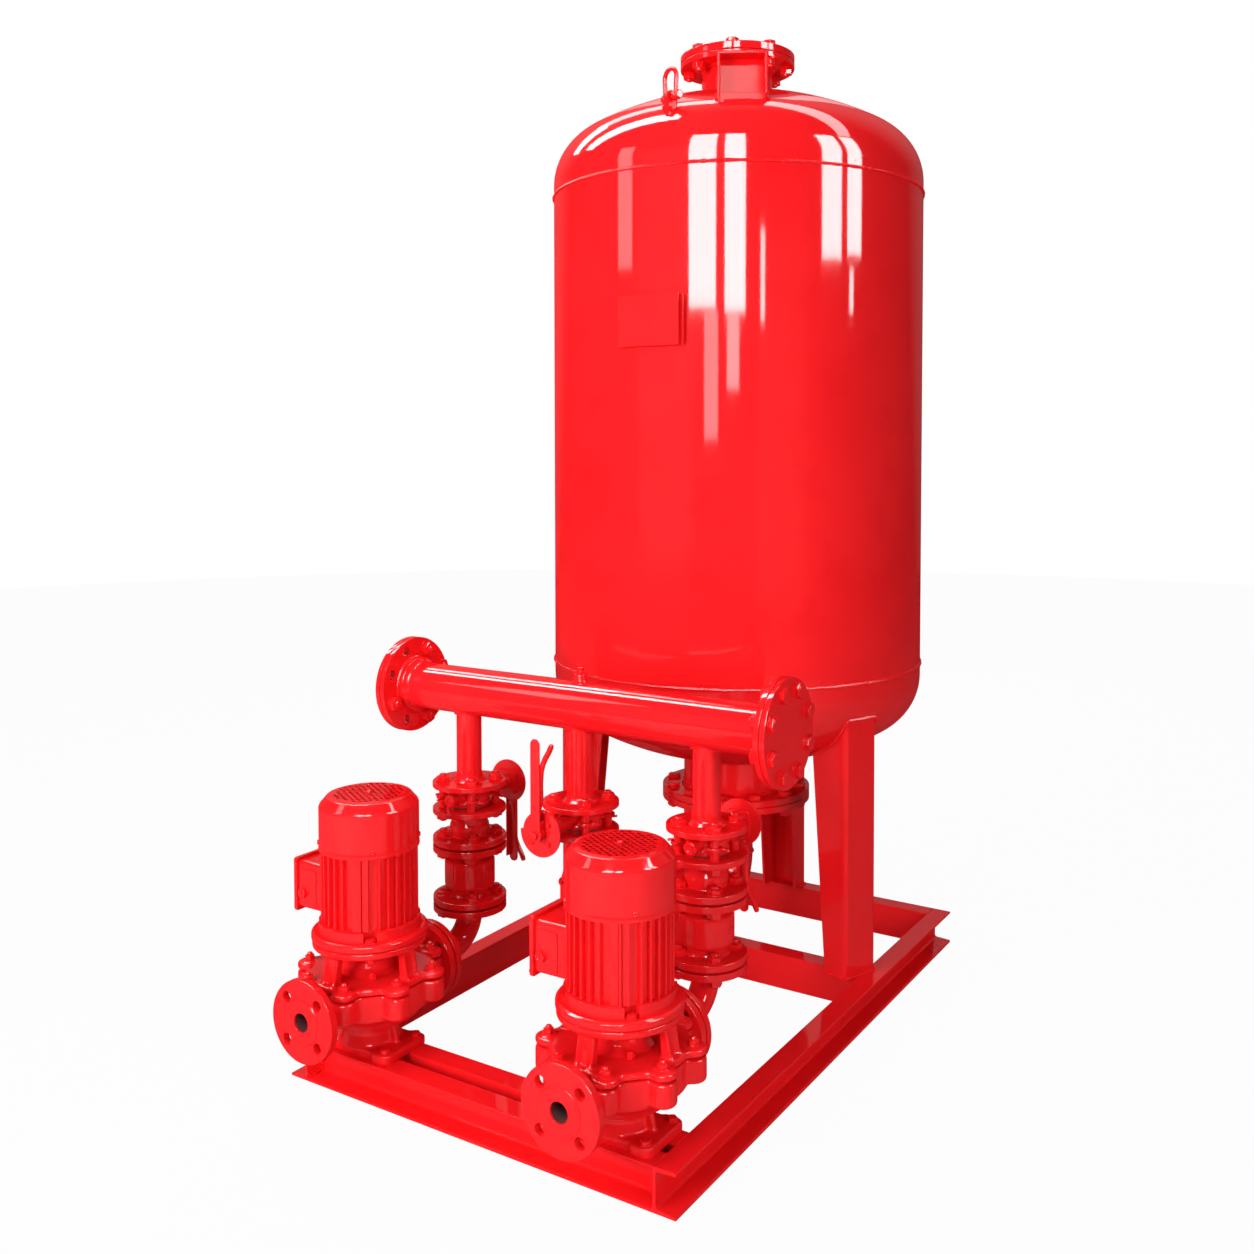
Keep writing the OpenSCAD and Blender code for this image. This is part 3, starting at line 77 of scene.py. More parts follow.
class Paint:
    # The nodes of one material, or of the world
    def __init__(self, owner):
        self.owner, self.tree = owner, owner.node_tree
        self.tree.nodes.clear()

    def node(self, kind, settings, inputs, out=0):
        made = self.tree.nodes.new("ShaderNode" + kind)
        for key, value in settings.items():
            if key == "stops":
                for element, (position, level) in zip(made.color_ramp.elements, value):
                    element.position, element.color = position, (level, level, level, 1)
            else:
                setattr(made, key, value)
        for key, value in inputs.items():
            if isinstance(value, Signal):
                self.tree.links.new(value.socket, made.inputs[key])
            else:
                made.inputs[key].default_value = value
        return Signal(self, made.outputs[out]) if made.outputs else None

    def grain(self, scale, detail=2, roughness=0.5, stretch=(1, 1, 1)):
        spot = self.node("Mapping", {}, {"Vector": self.node("TexCoord", {}, {}, "Object"), "Scale": stretch})
        return self.node("TexNoise", {}, {"Vector": spot, "Scale": scale, "Detail": detail, "Roughness": roughness})

    def ramp(self, value, low, high):
        return self.node("ValToRGB", {"stops": [(low, 0), (high, 1)]}, {"Fac": value})

    def blend(self, mask, a, b):
        return self.node("Mix", {"data_type": "RGBA"}, {0: mask, 6: a, 7: b}, 2)

    def bump(self, height, strength, distance, under=None):
        inputs = {"Height": height, "Strength": strength, "Distance": distance}
        if under:
            inputs["Normal"] = under
        return self.node("Bump", {}, inputs)

    def surface(self, inputs, white=0):
        shader = self.node("BsdfPrincipled", {}, inputs)
        if white:       # what the camera sees is lifted towards plain white, and the shadow stays
            seen = self.node("LightPath", {}, {}, "Is Camera Ray")
            glow = self.node("Emission", {}, {"Color": colour(1, 1, 1), "Strength": 1.0})
            shader = self.node("MixShader", {}, {0: seen * white, 1: shader, 2: glow})
        self.node("OutputMaterial", {}, {"Surface": shader})
        return self.owner


def colour(red, green, blue):
    return red, green, blue, 1


def newPaint(name):
    material = bpy.data.materials.new(name)
    material.use_nodes = True
    return Paint(material)


studio = {
    "backdrop": 1.0, "fill": 0.08,                  # world as the camera sees it, and as the object does
    "mirrorRise": 40, "mirrorEdge": (0.55, 0.9),    # middle and rim of the patch of backdrop that gloss shows
    "tankAxis": (0, 0.3085), "reach": 3.0, "droop": 0.2,
    "strips": [                                     # degrees right of the camera, width, low end, high end, watts
        (-19, 0.80, 1.68, 3.6, 125), (-1, 0.60, 1.66, 3.6, 95),
        (-14, 0.40, 1.15, 1.66, 4), (-2, 0.35, 1.35, 1.64, 3),
        (54, 0.66, 1.88, 3.6, 96), (69, 0.52, 1.90, 3.5, 72), (-66, 0.52, 1.85, 2.9, 9),
        (14, 0.12, 1.62, 1.98, 2.6), (67, 0.14, 1.66, 1.84, 1.8),
        (-168, 0.35, 2.7, 5.2, 14), (168, 0.30, 2.9, 5.2, 12)],
    "overhead": [                                   # place, target, width, height, watts
        ((-1.9, -0.42, 3.4), (-1.9, -0.3, 0), 3.0, 0.5, 160), ((-2.7, 0.5, 3.3), (-2.7, 0.3, 0), 2.0, 0.5, 80),
        ((-1.2, 0.66, 3.4), (-1.2, 0.66, 0), 1.8, 0.5, 40), ((1.3, 0.66, 3.4), (1.3, 0.66, 0), 2.7, 0.42, 46)],
    "soft": [                                       # the same of lamps too wide to mirror
        ((-0.9, -3.6, 1.6), (0, 0, 0.7), 2.4, 2.2, 172), ((0.3, -0.6, 4.2), (0, 0.1, 0), 2.4, 2.4, 52),
        ((3.0, -1.9, 1.2), (0, 0, 0.7), 1.8, 1.8, 60), ((-1.4, 3.4, 2.0), (0, 0.3, 0.9), 2.4, 2.2, 40)],
}


def areaLight(name, place, target, width, height, watts):
    lamp = bpy.data.lights.new(name, "AREA")
    lamp.shape, lamp.size, lamp.size_y, lamp.energy = "RECTANGLE", width, height, watts
    holder = bpy.data.objects.new(name, lamp)
    holder.location = place
    holder.rotation_euler = (Vector(target) - Vector(place)).to_track_quat("-Z", "Y").to_euler()
    holder.visible_camera = False
    scene.collection.objects.link(holder)
    return holder


def lightStudio():
    ax, ay = studio["tankAxis"]
    toCamera = atan2(view["place"][1] - ay, view["place"][0] - ax)
    for number, (right, width, low, high, watts) in enumerate(studio["strips"]):
        a = toCamera + radians(right)
        middle = (low + high) / 2
        place = (ax + studio["reach"] * cos(a), ay + studio["reach"] * sin(a), middle)
        strip = areaLight("strip%d" % number, place, (ax, ay, middle - studio["droop"]), width, high - low, watts)
        strip.visible_diffuse = False
    for number, lamp in enumerate(studio["overhead"]):
        areaLight("overhead%d" % number, *lamp).visible_diffuse = False
    for number, lamp in enumerate(studio["soft"]):
        areaLight("soft%d" % number, *lamp).visible_glossy = False
    world = bpy.data.worlds.new("studio")
    world.use_nodes = True
    scene.world = world
    p = Paint(world)
    rise = radians(studio["mirrorRise"])
    away = p.node("VectorMath", {"operation": "DOT_PRODUCT"}, {
        0: p.node("TexCoord", {}, {}, "Generated"),
        1: (-cos(toCamera) * cos(rise), -sin(toCamera) * cos(rise), sin(rise))}, "Value")
    rim, core = studio["mirrorEdge"]
    behind = p.node("MapRange", {}, {"Value": away, "From Min": rim, "From Max": core})
    mirrored = p.node("LightPath", {}, {}, "Is Glossy Ray") + p.node("LightPath", {}, {}, "Is Transmission Ray")
    seen = p.node("LightPath", {}, {}, "Is Camera Ray") + mirrored * behind
    level = p.node("MapRange", {}, {"Value": seen, "To Min": studio["fill"], "To Max": studio["backdrop"]})
    sky = p.node("Background", {}, {"Color": colour(1, 1, 1), "Strength": level})
    p.node("OutputWorld", {}, {"Surface": sky})


lightStudio()
print("studio lit")

enamelPaint = {"body": colour(0.80, 0.009, 0.012), "thin": colour(0.70, 0.006, 0.009),
               "thick": colour(0.85, 0.012, 0.015), "clouds": 2.6, "patches": 11, "flecks": 60, "sand": 240,
               "coatRoughness": 0.06, "coatIor": 1.5}


def enamel(name, peel=0.25, peelSize=420, wave=0.0, waveSize=9, sand=0.0, roughness=0.2, coat=0.7):
    # Sprayed gloss enamel: orange peel, slow waves of the sheet under it, sand-cast skin under thick paint
    p, e = newPaint(name), enamelPaint
    body = p.blend(p.ramp(p.grain(e["clouds"], 3), 0.35, 0.7), e["body"], e["thick"])
    patches = p.ramp(p.grain(e["patches"], 4, 0.6), 0.5, 0.78)
    body = p.blend(patches * 0.45, body, e["thin"])
    gloss = p.grain(e["flecks"], 3) * 0.09 + patches * 0.04 + (roughness - 0.05)
    normal = None
    if wave:
        normal = p.bump(p.grain(waveSize, 1), wave, 0.004)
    if sand:
        normal = p.bump(p.grain(e["sand"], 4, 0.62), sand, 0.0012, normal)
    normal = p.bump(p.grain(peelSize, 1, 0.4), peel, 0.00035, normal)
    facing = 1 - p.node("LayerWeight", {}, {"Blend": 0.5}, "Facing")
    return p.surface({"Base Color": body, "Roughness": gloss, "Normal": normal, "Coat Weight": facing * coat,
                      "Coat Roughness": e["coatRoughness"], "Coat IOR": e["coatIor"], "Specular IOR Level": 0.0})


def plainMetal(name, tone, roughness, scratch, along):
    # Turned or drawn metal with fine lines along one axis
    p = newPaint(name)
    lines = p.grain(340, 3, 0.6, along)
    stain = p.ramp(p.grain(32, 4), 0.4, 0.75)
    tint = p.blend(stain * 0.5, colour(*tone), colour(*[0.6 * c for c in tone]))
    return p.surface({"Base Color": tint, "Metallic": 0.95, "Normal": p.bump(lines, scratch, 0.0003),
                      "Roughness": lines * 0.22 + stain * 0.12 + roughness})


def dullPiece(name, tone, roughness, size, strength, metallic=0.0):
    # Rubber, moulded plastic, varnish and other plain skins
    p = newPaint(name)
    skin = p.grain(size, 4, 0.6)
    dust = p.ramp(p.grain(26, 3), 0.45, 0.8)
    tint = p.blend(dust * 0.5, colour(*tone), colour(*[c * 1.7 + 0.01 for c in tone]))
    return p.surface({"Base Color": tint, "Metallic": metallic, "Normal": p.bump(skin, strength, 0.0006),
                      "Roughness": skin * 0.16 + dust * 0.1 + roughness})


finishes = {made.name: made for made in (
    enamel("tankEnamel", peel=0.16, peelSize=380, wave=0.16, waveSize=7, roughness=0.16, coat=0.9),
    enamel("steelEnamel", peel=0.3, wave=0.1, waveSize=26, roughness=0.24, coat=0.6),
    enamel("pipeEnamel", peel=0.22, wave=0.08, waveSize=18, roughness=0.19, coat=0.8),
    enamel("bracketEnamel", peel=0.35, wave=0.1, waveSize=18, roughness=0.3, coat=0.14),
    enamel("castEnamel", peel=0.3, sand=0.5, roughness=0.24, coat=0.7),
    enamel("boltEnamel", peel=0.3, peelSize=700, wave=0.1, waveSize=120, roughness=0.18, coat=0.8),
    enamel("weldEnamel", peel=0.4, peelSize=520, sand=0.35, roughness=0.22, coat=0.7),
    plainMetal("brightSteel", (0.60, 0.61, 0.63), 0.22, 0.25, (1, 1, 0.06)),
    plainMetal("discSteel", (0.56, 0.57, 0.58), 0.3, 0.3, (0.2, 1, 1)),
    plainMetal("castBronze", (0.62, 0.42, 0.17), 0.34, 0.35, (1, 1, 1)),
    dullPiece("rubber", (0.020, 0.020, 0.022), 0.55, 300, 0.3),
    dullPiece("plastic", (0.030, 0.030, 0.033), 0.38, 520, 0.2),
    dullPiece("windings", (0.26, 0.10, 0.035), 0.34, 700, 0.5, 0.6),
    # portShade: the dark red inside the port bores, partly bare cast iron and partly painted shade of the deep bores
    dullPiece("portShade", (0.075, 0.003, 0.003), 0.85, 260, 0.5),
)}
print("finishes mixed")


def at(x=0, y=0, z=0, rx=0, ry=0, rz=0):
    return Matrix.Translation((x, y, z)) @ Euler((radians(rx), radians(ry), radians(rz))).to_matrix().to_4x4()


def up(z, turn=0):
    return at(0, 0, z, 0, 0, turn)


def around(count, radius, start=0, place=Matrix()):
    return [place @ Matrix.Rotation(radians(start + 360 * k / count), 4, "Z") @ Matrix.Translation((radius, 0, 0))
            for k in range(count)]


def arc(radius, fromAngle, toAngle, steps, x=0, y=0):
    angles = [radians(fromAngle + (toAngle - fromAngle) * k / steps) for k in range(steps + 1)]
    return [(x + radius * cos(a), y + radius * sin(a)) for a in angles]


def circle(radius, steps=48, x=0, y=0, start=0):
    return arc(radius, start, start + 360, steps, x, y)[:-1]


def eased(points, radius=1.0, steps=3, closed=True):
    # Rounds the corners of an outline; a point's third value is its own radius
    out = []
    for i, point in enumerate(points):
        here = Vector(point[:2])
        size = point[2] if len(point) > 2 else radius
        if size <= 0 or not closed and i in (0, len(points) - 1):
            out.append(tuple(here))
            continue
        back = Vector(points[i - 1][:2]) - here
        on = Vector(points[(i + 1) % len(points)][:2]) - here
        half = back.angle(on) / 2
        if half > 1.54:         # the outline runs straight on
            out.append(tuple(here))
            continue
        reach = min(size / tan(half), back.length * 0.49, on.length * 0.49)
        start, end = here + back.normalized() * reach, here + on.normalized() * reach
        for k in range(steps + 1):
            t = k / steps
            out.append(tuple(start * (1 - t) ** 2 + here * (2 * t * (1 - t)) + end * t ** 2))
    return out


def box(width, height):
    return [(-width / 2, -height / 2), (width / 2, -height / 2), (width / 2, height / 2), (-width / 2, height / 2)]


def toMesh(bm):
    mesh = bpy.data.meshes.new("part")
    bm.to_mesh(mesh)
    bm.free()
    return mesh


def turned(profile, steps=64):
    # A profile of radius and height, closed by itself or on the axis, spun round z
    bm = bmesh.new()
    verts = [bm.verts.new((r, 0, z)) for r, z in profile]
    pairs = list(zip(verts, verts[1:]))
    if profile[0][0] > 0 or profile[-1][0] > 0:
        pairs.append((verts[-1], verts[0]))
    edges = [bm.edges.new(pair) for pair in pairs]
    bmesh.ops.spin(bm, geom=verts + edges, cent=(0, 0, 0), axis=(0, 0, 1), angle=2 * pi, steps=steps, use_merge=True)
    bmesh.ops.remove_doubles(bm, verts=bm.verts, dist=0.001)
    bmesh.ops.recalc_face_normals(bm, faces=bm.faces)
    return toMesh(bm)


def lathe(points, ease=1.0, corner=3, steps=64):
    return turned(eased(points, ease, corner), steps)


def spindle(points, ease=1.0, corner=3, steps=64):
    # As lathe, for a profile that starts and ends on the axis
    return turned(eased(points, ease, corner, False), steps)


def ringOf(inner, outer, low, high, ease=1.0, steps=64):
    return lathe([(inner, low), (outer, low), (outer, high), (inner, high)], ease, 3, steps)


def plate(outline, thickness, ease=1.0, holes=()):
    # An outline with holes raised from z = 0, its rims eased in two steps
    bm = bmesh.new()
    edges = []
    for loop in (outline, *holes):
        apart = 0.05 + ease * 0.1
        loop = [b for a, b in zip(loop[-1:] + loop[:-1], loop) if hypot(a[0] - b[0], a[1] - b[1]) > apart]
        verts = [bm.verts.new((x, y, ease)) for x, y in loop]
        edges += [bm.edges.new(pair) for pair in zip(verts, verts[1:] + verts[:1])]
    bmesh.ops.triangle_fill(bm, use_beauty=True, use_dissolve=False, edges=edges, normal=(0, 0, 1))
    low = bm.faces[:]
    grown = bmesh.ops.extrude_face_region(bm, geom=low)["geom"]
    top = [g for g in grown if isinstance(g, bmesh.types.BMFace)]
    lift = (0, 0, thickness - 2 * ease)
    bmesh.ops.translate(bm, vec=lift, verts=[g for g in grown if isinstance(g, bmesh.types.BMVert)])
    bmesh.ops.recalc_face_normals(bm, faces=bm.faces)
    if ease:
        for caps in (low, top):
            for across, rise in ((0.3, 0.7), (0.7, 0.3)):
                bmesh.ops.inset_region(bm, faces=caps, thickness=ease * across, depth=ease * rise,
                                       use_boundary=True, use_even_offset=False)
    return toMesh(bm)


def block(width, depth, height, ease=1.0, corner=2.0, steps=3):
    return plate(eased(box(width, depth), corner, steps), height, ease)


def tube(path, radius, sides=16, closed=False, radii=None):
    # A round bar along a path, made as a bevelled curve
    curve = bpy.data.curves.new("tube", "CURVE")
    curve.dimensions = "3D"
    spline = curve.splines.new("POLY")
    spline.points.add(len(path) - 1)
    for number, place in enumerate(path):
        spline.points[number].co = (*place, 1)
        spline.points[number].radius = radii[number] if radii else 1
    spline.use_cyclic_u = closed
    curve.bevel_depth, curve.bevel_resolution = radius, (sides - 4) // 2
    curve.use_fill_caps = not closed
    holder = bpy.data.objects.new("tube", curve)
    mesh = bpy.data.meshes.new_from_object(holder)
    bpy.data.objects.remove(holder)
    bpy.data.curves.remove(curve)
    bm = bmesh.new()
    bm.from_mesh(mesh)
    bmesh.ops.remove_doubles(bm, verts=bm.verts, dist=0.001)
    bmesh.ops.recalc_face_normals(bm, faces=bm.faces)
    bpy.data.meshes.remove(mesh)
    return toMesh(bm)


def spaced(path, step, closed=False):
    # The same path with a point every step
    points = [Vector(p) for p in path] + ([Vector(path[0])] if closed else [])
    out, left = [], 0.0
    for a, b in zip(points, points[1:]):
        length = (b - a).length
        while left < length:
            out.append(a.lerp(b, left / length))
            left += step
        left -= length
    return out


def weld(path, size, closed=False, pitch=5.0, sides=6):
    # A weld bead of overlapping ripples, uneven as a hand leaves it
    points = spaced(path, pitch / 4, closed)
    radii = [1 + 0.13 * sin(k * pi / 2) + 0.35 * noise.noise(p / (pitch * 2.2)) for k, p in enumerate(points)]
    return tube(points, size, sides, closed, radii)


def roundWeld(radius, size, z=0, steps=60, pitch=5.0, sides=6):
    return weld([(x, y, z) for x, y in circle(radius, steps)], size, True, pitch, sides)


class Shape:
    # Gathers parts into one piece
    def __init__(self, part=None, *places):
        self.bm = bmesh.new()
        if part:
            self.add(part, *places)

    def add(self, part, *places):
        for place in places or (Matrix(),):
            first = len(self.bm.verts)
            self.bm.from_mesh(part)
            self.bm.verts.ensure_lookup_table()
            bmesh.ops.transform(self.bm, matrix=place, verts=self.bm.verts[first:])
        return self

    def mesh(self):
        return toMesh(self.bm)


def cast(part, voxel=2.2, relax=4):
    # Melts overlapping parts into one casting with filleted corners
    holder = bpy.data.objects.new("cast", part)
    scene.collection.objects.link(holder)
    melt = holder.modifiers.new("melt", "REMESH")
    melt.mode, melt.voxel_size = "VOXEL", voxel
    smooth = holder.modifiers.new("relax", "SMOOTH")
    smooth.iterations, smooth.factor = relax, 0.5
    mesh = bpy.data.meshes.new_from_object(holder.evaluated_get(bpy.context.evaluated_depsgraph_get()))
    bpy.data.objects.remove(holder)
    return mesh


def piece(name, part, finish, node="", body="set", sharp=40):
    # Puts a finished part into the frame as an object of its own, in place of the CAD node it is named with
    mesh = part.mesh() if isinstance(part, Shape) else part
    mesh.transform(toFrame)
    mesh.name = name
    mesh.shade_smooth()
    if sharp:
        mesh.set_sharp_from_angle(angle=radians(sharp))
    mesh.materials.clear()
    mesh.materials.append(finishes[finish])
    made = bpy.data.objects.new(name, mesh)
    scene.collection.objects.link(made)
    if sharp:
        settle = made.modifiers.new("evenNormals", "WEIGHTED_NORMAL")
        settle.keep_sharp = True
    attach(made, body)
    if node:
        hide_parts(node)


def hexBlock(corners, height, ease=1.2):
    return plate(eased(circle(corners / 2, 6), corners * 0.06, 2), height, ease)


boltShares = {"washer": (0.3, 0.98), "head": 0.57, "corners": 1.75, "nut": 0.8, "tip": 1.1}     # of the shank's size


def fastener(size, grip, nut=True, tail=0):
    # A painted bolt with its head's seat on z = 0 and its nut below the grip
    inner, outer = [size * share for share in boltShares["washer"]]
    across, nutHeight = size * boltShares["corners"], size * boltShares["nut"]
    s = Shape(ringOf(inner, outer, 0, 1.6, 0.5, 20))
    s.add(hexBlock(across, size * boltShares["head"] - 1.2, 1.3), up(1.2, 30))
    s.add(spindle([(0, size * 0.5), (size * 0.66, size * 0.5), (size * 0.56, size * 0.6), (0, size * 0.62)],
                  0.8, 2, 18))
    if tail:        # the stud's end above the head
        end = size * 0.6 + tail
        s.add(spindle([(0, size * 0.5), (size * 0.46, size * 0.5), (size * 0.46, end - 1.2), (size * 0.36, end),
                       (0, end)], 0.6, 2, 16))
    tip = -grip - (size * boltShares["tip"] if nut else 0)
    s.add(turned([(0, tip), (size * 0.3, tip + 0.5), (size * 0.46, tip + size * 0.14), (size * 0.5, tip + size * 0.3),
                  (size * 0.5, 1), (0, 1)], 18))
    if nut:
        s.add(ringOf(inner, outer, -grip - 1.6, -grip, 0.5, 20))
        s.add(hexBlock(across, nutHeight - 1.2, 1.3), up(-grip - nutHeight, 30))
    return s.mesh()


print("kit ready")

# Skid of rolled channels
skid = {"length": 1200, "width": 800, "height": 70, "flange": 40, "web": 5, "tip": 5, "root": 7,
        "pumpBeam": 66, "tankBeam": 780.65, "weld": 3.2, "weldPitch": 5.5, "weldShort": 3}
sideFace = skid["width"] / 2 - skid["flange"]


def channelBar(length):
    w, h = skid["flange"], skid["height"]
    tip, root, web = skid["tip"], skid["root"], skid["web"]
    outline = [(0, 0, 1), (w, 0, 0.8), (w, tip, 3.4), (web, root, 6), (web, h - root, 6), (w, h - tip, 3.4),
               (w, h, 0.8), (0, h, 1)]
    return plate(eased(outline, 1, 4), length, 0.7)


crossWise = Matrix(((0, 0, 1, 0), (1, 0, 0, 0), (0, 1, 0, 0), (0, 0, 0, 1)))    # lays a bar along x, flanges to +y
longBar, shortBar = channelBar(skid["length"]), channelBar(2 * sideFace)
rear = skid["length"] - skid["flange"]
for side, bar, place in (("left", longBar, at(-sideFace, 0, 0, 0, 0, 90)),
                         ("right", longBar, at(sideFace, skid["length"], 0, 0, 0, -90)),
                         ("front", shortBar, at(sideFace, skid["flange"], 0, 0, 0, 180)),
                         ("rear", shortBar, at(-sideFace, rear))):
    piece(side + "Channel", Shape(bar, place @ crossWise), "steelEnamel", "frame_" + side)
beams = Shape(shortBar, *[at(-sideFace, skid[beam]) @ crossWise for beam in ("pumpBeam", "tankBeam")])
piece("crossBeams", beams, "steelEnamel", "cross_beams")

joints = Shape()
top, web, short = skid["height"], skid["web"], skid["weldShort"]
corners = [(skid["flange"] - web, short)] + [(y + web, y + skid["flange"] - short) for y in
                                             (skid["pumpBeam"], skid["tankBeam"], rear)]
for side in (-1, 1):
    x, inner = side * sideFace, side * (sideFace - 1)
    for webFace, tips in corners:
        out = 1 if tips > webFace else -1
        back = webFace - out * web
        run = [(inner, tips, 6), (inner, webFace + out * 3, 8), (inner, webFace + out, 12),
               (inner, webFace + out, top - 12), (inner, webFace + out * 3, top - 8), (inner, tips, top - 6)]
        for path in (run, [(inner, back, 4), (inner, back, top - 4)]):
            joints.add(weld(path, skid["weld"], pitch=skid["weldPitch"]))
        joints.add(weld([(x, back, top - 0.6), (x, tips, top - 0.6)], 1.6, pitch=6))
piece("skidWelds", joints, "weldEnamel")
print("skid done")

# Diaphragm tank
tank = {"radius": 400, "wall": 6, "y": 921, "seam": 656, "shell": 1000, "depth": 195, "skirt": 25, "knuckle": 125,
        "bead": 3.6, "beadPitch": 5.2, "topJoint": 1950, "bottomJoint": 359, "sides": 160,
        "spatter": 46, "spatterReach": 21, "spatterSeed": 11}
topNeck = {"radius": 76, "flange": 124, "thick": 12, "cover": 16, "pcd": 212, "bolts": 8}
bottomNeck = {"radius": 115, "flange": 162.5, "thick": 14, "cover": 14, "pcd": 285, "bolts": 12}
kneeRadius = tank["radius"] - tank["knuckle"]
crown = (tank["knuckle"] ** 2 - kneeRadius ** 2 - tank["depth"] ** 2) / (2 * (tank["knuckle"] - tank["depth"]))
crownZ = tank["skirt"] + tank["depth"] - crown
turnOver = degrees(atan2(tank["skirt"] - crownZ, kneeRadius))
topSeam = tank["seam"] + tank["shell"]


def onTank(z, turn=0):
    return at(0, tank["y"], z, 0, 0, turn)


def underTank(z, turn=0):
    return at(0, tank["y"], z, 180, 0, turn)


def headHeight(r):
    # Height of a head's outside over its seam at this radius
    if r > kneeRadius * crown / (crown - tank["knuckle"]):
        return tank["skirt"] + sqrt(max(0, tank["knuckle"] ** 2 - (r - kneeRadius) ** 2))
    return crownZ + sqrt(crown ** 2 - r ** 2)


def headProfile(opening, inset=0):
    points = [(tank["radius"] - inset, 0 if inset else 0.6)]
    points += arc(tank["knuckle"] - inset, 0, turnOver, 16, kneeRadius, tank["skirt"])
    ends = degrees(atan2(sqrt((crown - inset) ** 2 - opening ** 2), opening))
    return points + arc(crown - inset, turnOver, ends, 22, 0, crownZ)[1:]


def dishedHead(neck):
    opening = neck["radius"] - tank["wall"]
    return turned(headProfile(opening) + headProfile(opening, tank["wall"])[::-1], tank["sides"])


r, inner, high = tank["radius"], tank["radius"] - tank["wall"], tank["shell"]
shell = turned([(inner, 0.3), (r - 0.4, 0.3), (r, 0.9)] + [(r, 0.9 + (high - 1.8) * k / 12) for k in range(1, 13)]
               + [(r - 0.4, high - 0.3), (inner, high - 0.3)], tank["sides"])
piece("tankShell", Shape(shell, onTank(tank["seam"])), "tankEnamel", "tank_shell")
piece("tankTopHead", Shape(dishedHead(topNeck), onTank(topSeam)), "tankEnamel", "tank_top_head")
piece("tankBottomHead", Shape(dishedHead(bottomNeck), underTank(tank["seam"])), "tankEnamel", "tank_bottom_head")

noise.seed_set(tank["spatterSeed"])
seams = Shape()
for z in (tank["seam"], topSeam):
    seams.add(roundWeld(r - 0.6, tank["bead"], 0, 240, tank["beadPitch"], 8), onTank(z))
    for k in range(tank["spatter"]):
        a, lift = noise.random() * 2 * pi, (noise.random() - 0.5) * 2 * tank["spatterReach"]
        drop = Matrix.Scale(0.5 + 1.1 * noise.random() ** 2, 4)
        seams.add(turned([(0, -1), (0.8, -0.6), (1.1, 0), (0.8, 0.6), (0, 1)], 8),
                  onTank(z) @ at((r + 0.1) * cos(a), (r + 0.1) * sin(a), lift) @ drop)
piece("tankSeams", seams, "weldEnamel")

# Necks, covers and their bolts
coverBolt = fastener(16, 29)


def neckWithFlange(neck, overSeam):
    # Joint face on z = 0, the neck running down into the head
    inner, thick, drop = neck["radius"] - tank["wall"], neck["thick"], overSeam - headHeight(neck["radius"])
    s = Shape(ringOf(inner, neck["flange"], -thick, 0, 1.6, 96))
    s.add(ringOf(inner, neck["radius"], -drop - 14, -thick + 1, 0.5, 96))
    for out, size, z in ((1.5, 3.4, -thick - 1), (2.5, 4.6, -drop + 1)):
        s.add(roundWeld(neck["radius"] + out, size, z, 90))
    return s.mesh()


s = Shape(neckWithFlange(topNeck, tank["topJoint"] - topSeam), onTank(tank["topJoint"]))
s.add(neckWithFlange(bottomNeck, tank["seam"] - tank["bottomJoint"]), underTank(tank["bottomJoint"]))
piece("tankNecks", s, "pipeEnamel", "tank_necks")

rim, thick = topNeck["flange"], topNeck["cover"]
cover = spindle([(0, 0), (rim, 0), (rim, thick), (0, thick)], 2.2, 3, 96)
piece("topCover", Shape(cover, onTank(tank["topJoint"] + 1)), "pipeEnamel", "top_cover")
cover = ringOf(34, bottomNeck["flange"], 1, 1 + bottomNeck["cover"], 2, 96)
piece("bottomCover", Shape(cover, underTank(tank["bottomJoint"])), "pipeEnamel", "bottom_cover")
bolts = Shape()
for neck, z in ((topNeck, tank["topJoint"] + 17), (bottomNeck, tank["bottomJoint"] + 14)):
    bolts.add(coverBolt, *around(neck["bolts"], neck["pcd"] / 2, 180 / neck["bolts"], onTank(z)))
print("tank done")

# Folded legs
legs = {"web": 85, "thick": 6, "bend": 9, "topDepth": 95, "footDepth": 58, "radius": 388, "rear": 275,
        "spread": 22, "foot": 70}


def foldedLeg(radius):
    # The folded sheet with its web outwards, drawn at the foot and stretched up to the head
    w, t, bend, depth = legs["web"] / 2, legs["thick"], legs["bend"], legs["footDepth"]
    run = [(-depth + (depth - bend) * k / 6, w) for k in range(7)]
    run += arc(bend, 90, 0, 5, -bend, w - bend)[1:]
    outside = run + [(x, -y) for x, y in reversed(run)]
    inside = []
    for x, y in outside:
        side = 1 if y > 0 else -1
        shrink, cy = (bend - t) / bend, (w - bend) * side
        inside.append((x, (w - t) * side) if x <= -bend else (-bend + (x + bend) * shrink, cy + (y - cy) * shrink))
    bm = bmesh.new()
    verts = [bm.verts.new((radius + x, y, legs["foot"])) for x, y in outside + inside[::-1]]
    low = bmesh.ops.contextual_create(bm, geom=[bm.edges.new(p) for p in zip(verts, verts[1:] + verts[:1])])["faces"]
    grown = bmesh.ops.extrude_face_region(bm, geom=low)["geom"]
    stretch = legs["topDepth"] / depth
    for v in [g for g in grown if isinstance(g, bmesh.types.BMVert)]:
        v.co.x = radius + (v.co.x - radius) * stretch
        v.co.z = tank["seam"] - headHeight(hypot(v.co.x, v.co.y)) + 1.5
    bmesh.ops.recalc_face_normals(bm, faces=bm.faces)
    rim = [e for e in bm.edges if e.calc_length() > 100 and e.is_manifold and e.calc_face_angle(0) > 0.9]
    bmesh.ops.bevel(bm, geom=rim, offset=0.9, segments=2, profile=0.5, affect="EDGES", material=-1)
    top = [(radius + x * stretch + (1.5 if x > -bend else 0), y * 1.03) for x, y in outside]
    return toMesh(bm), weld([(x, y, tank["seam"] - headHeight(hypot(x, y)) - 1) for x, y in top], 3.6)


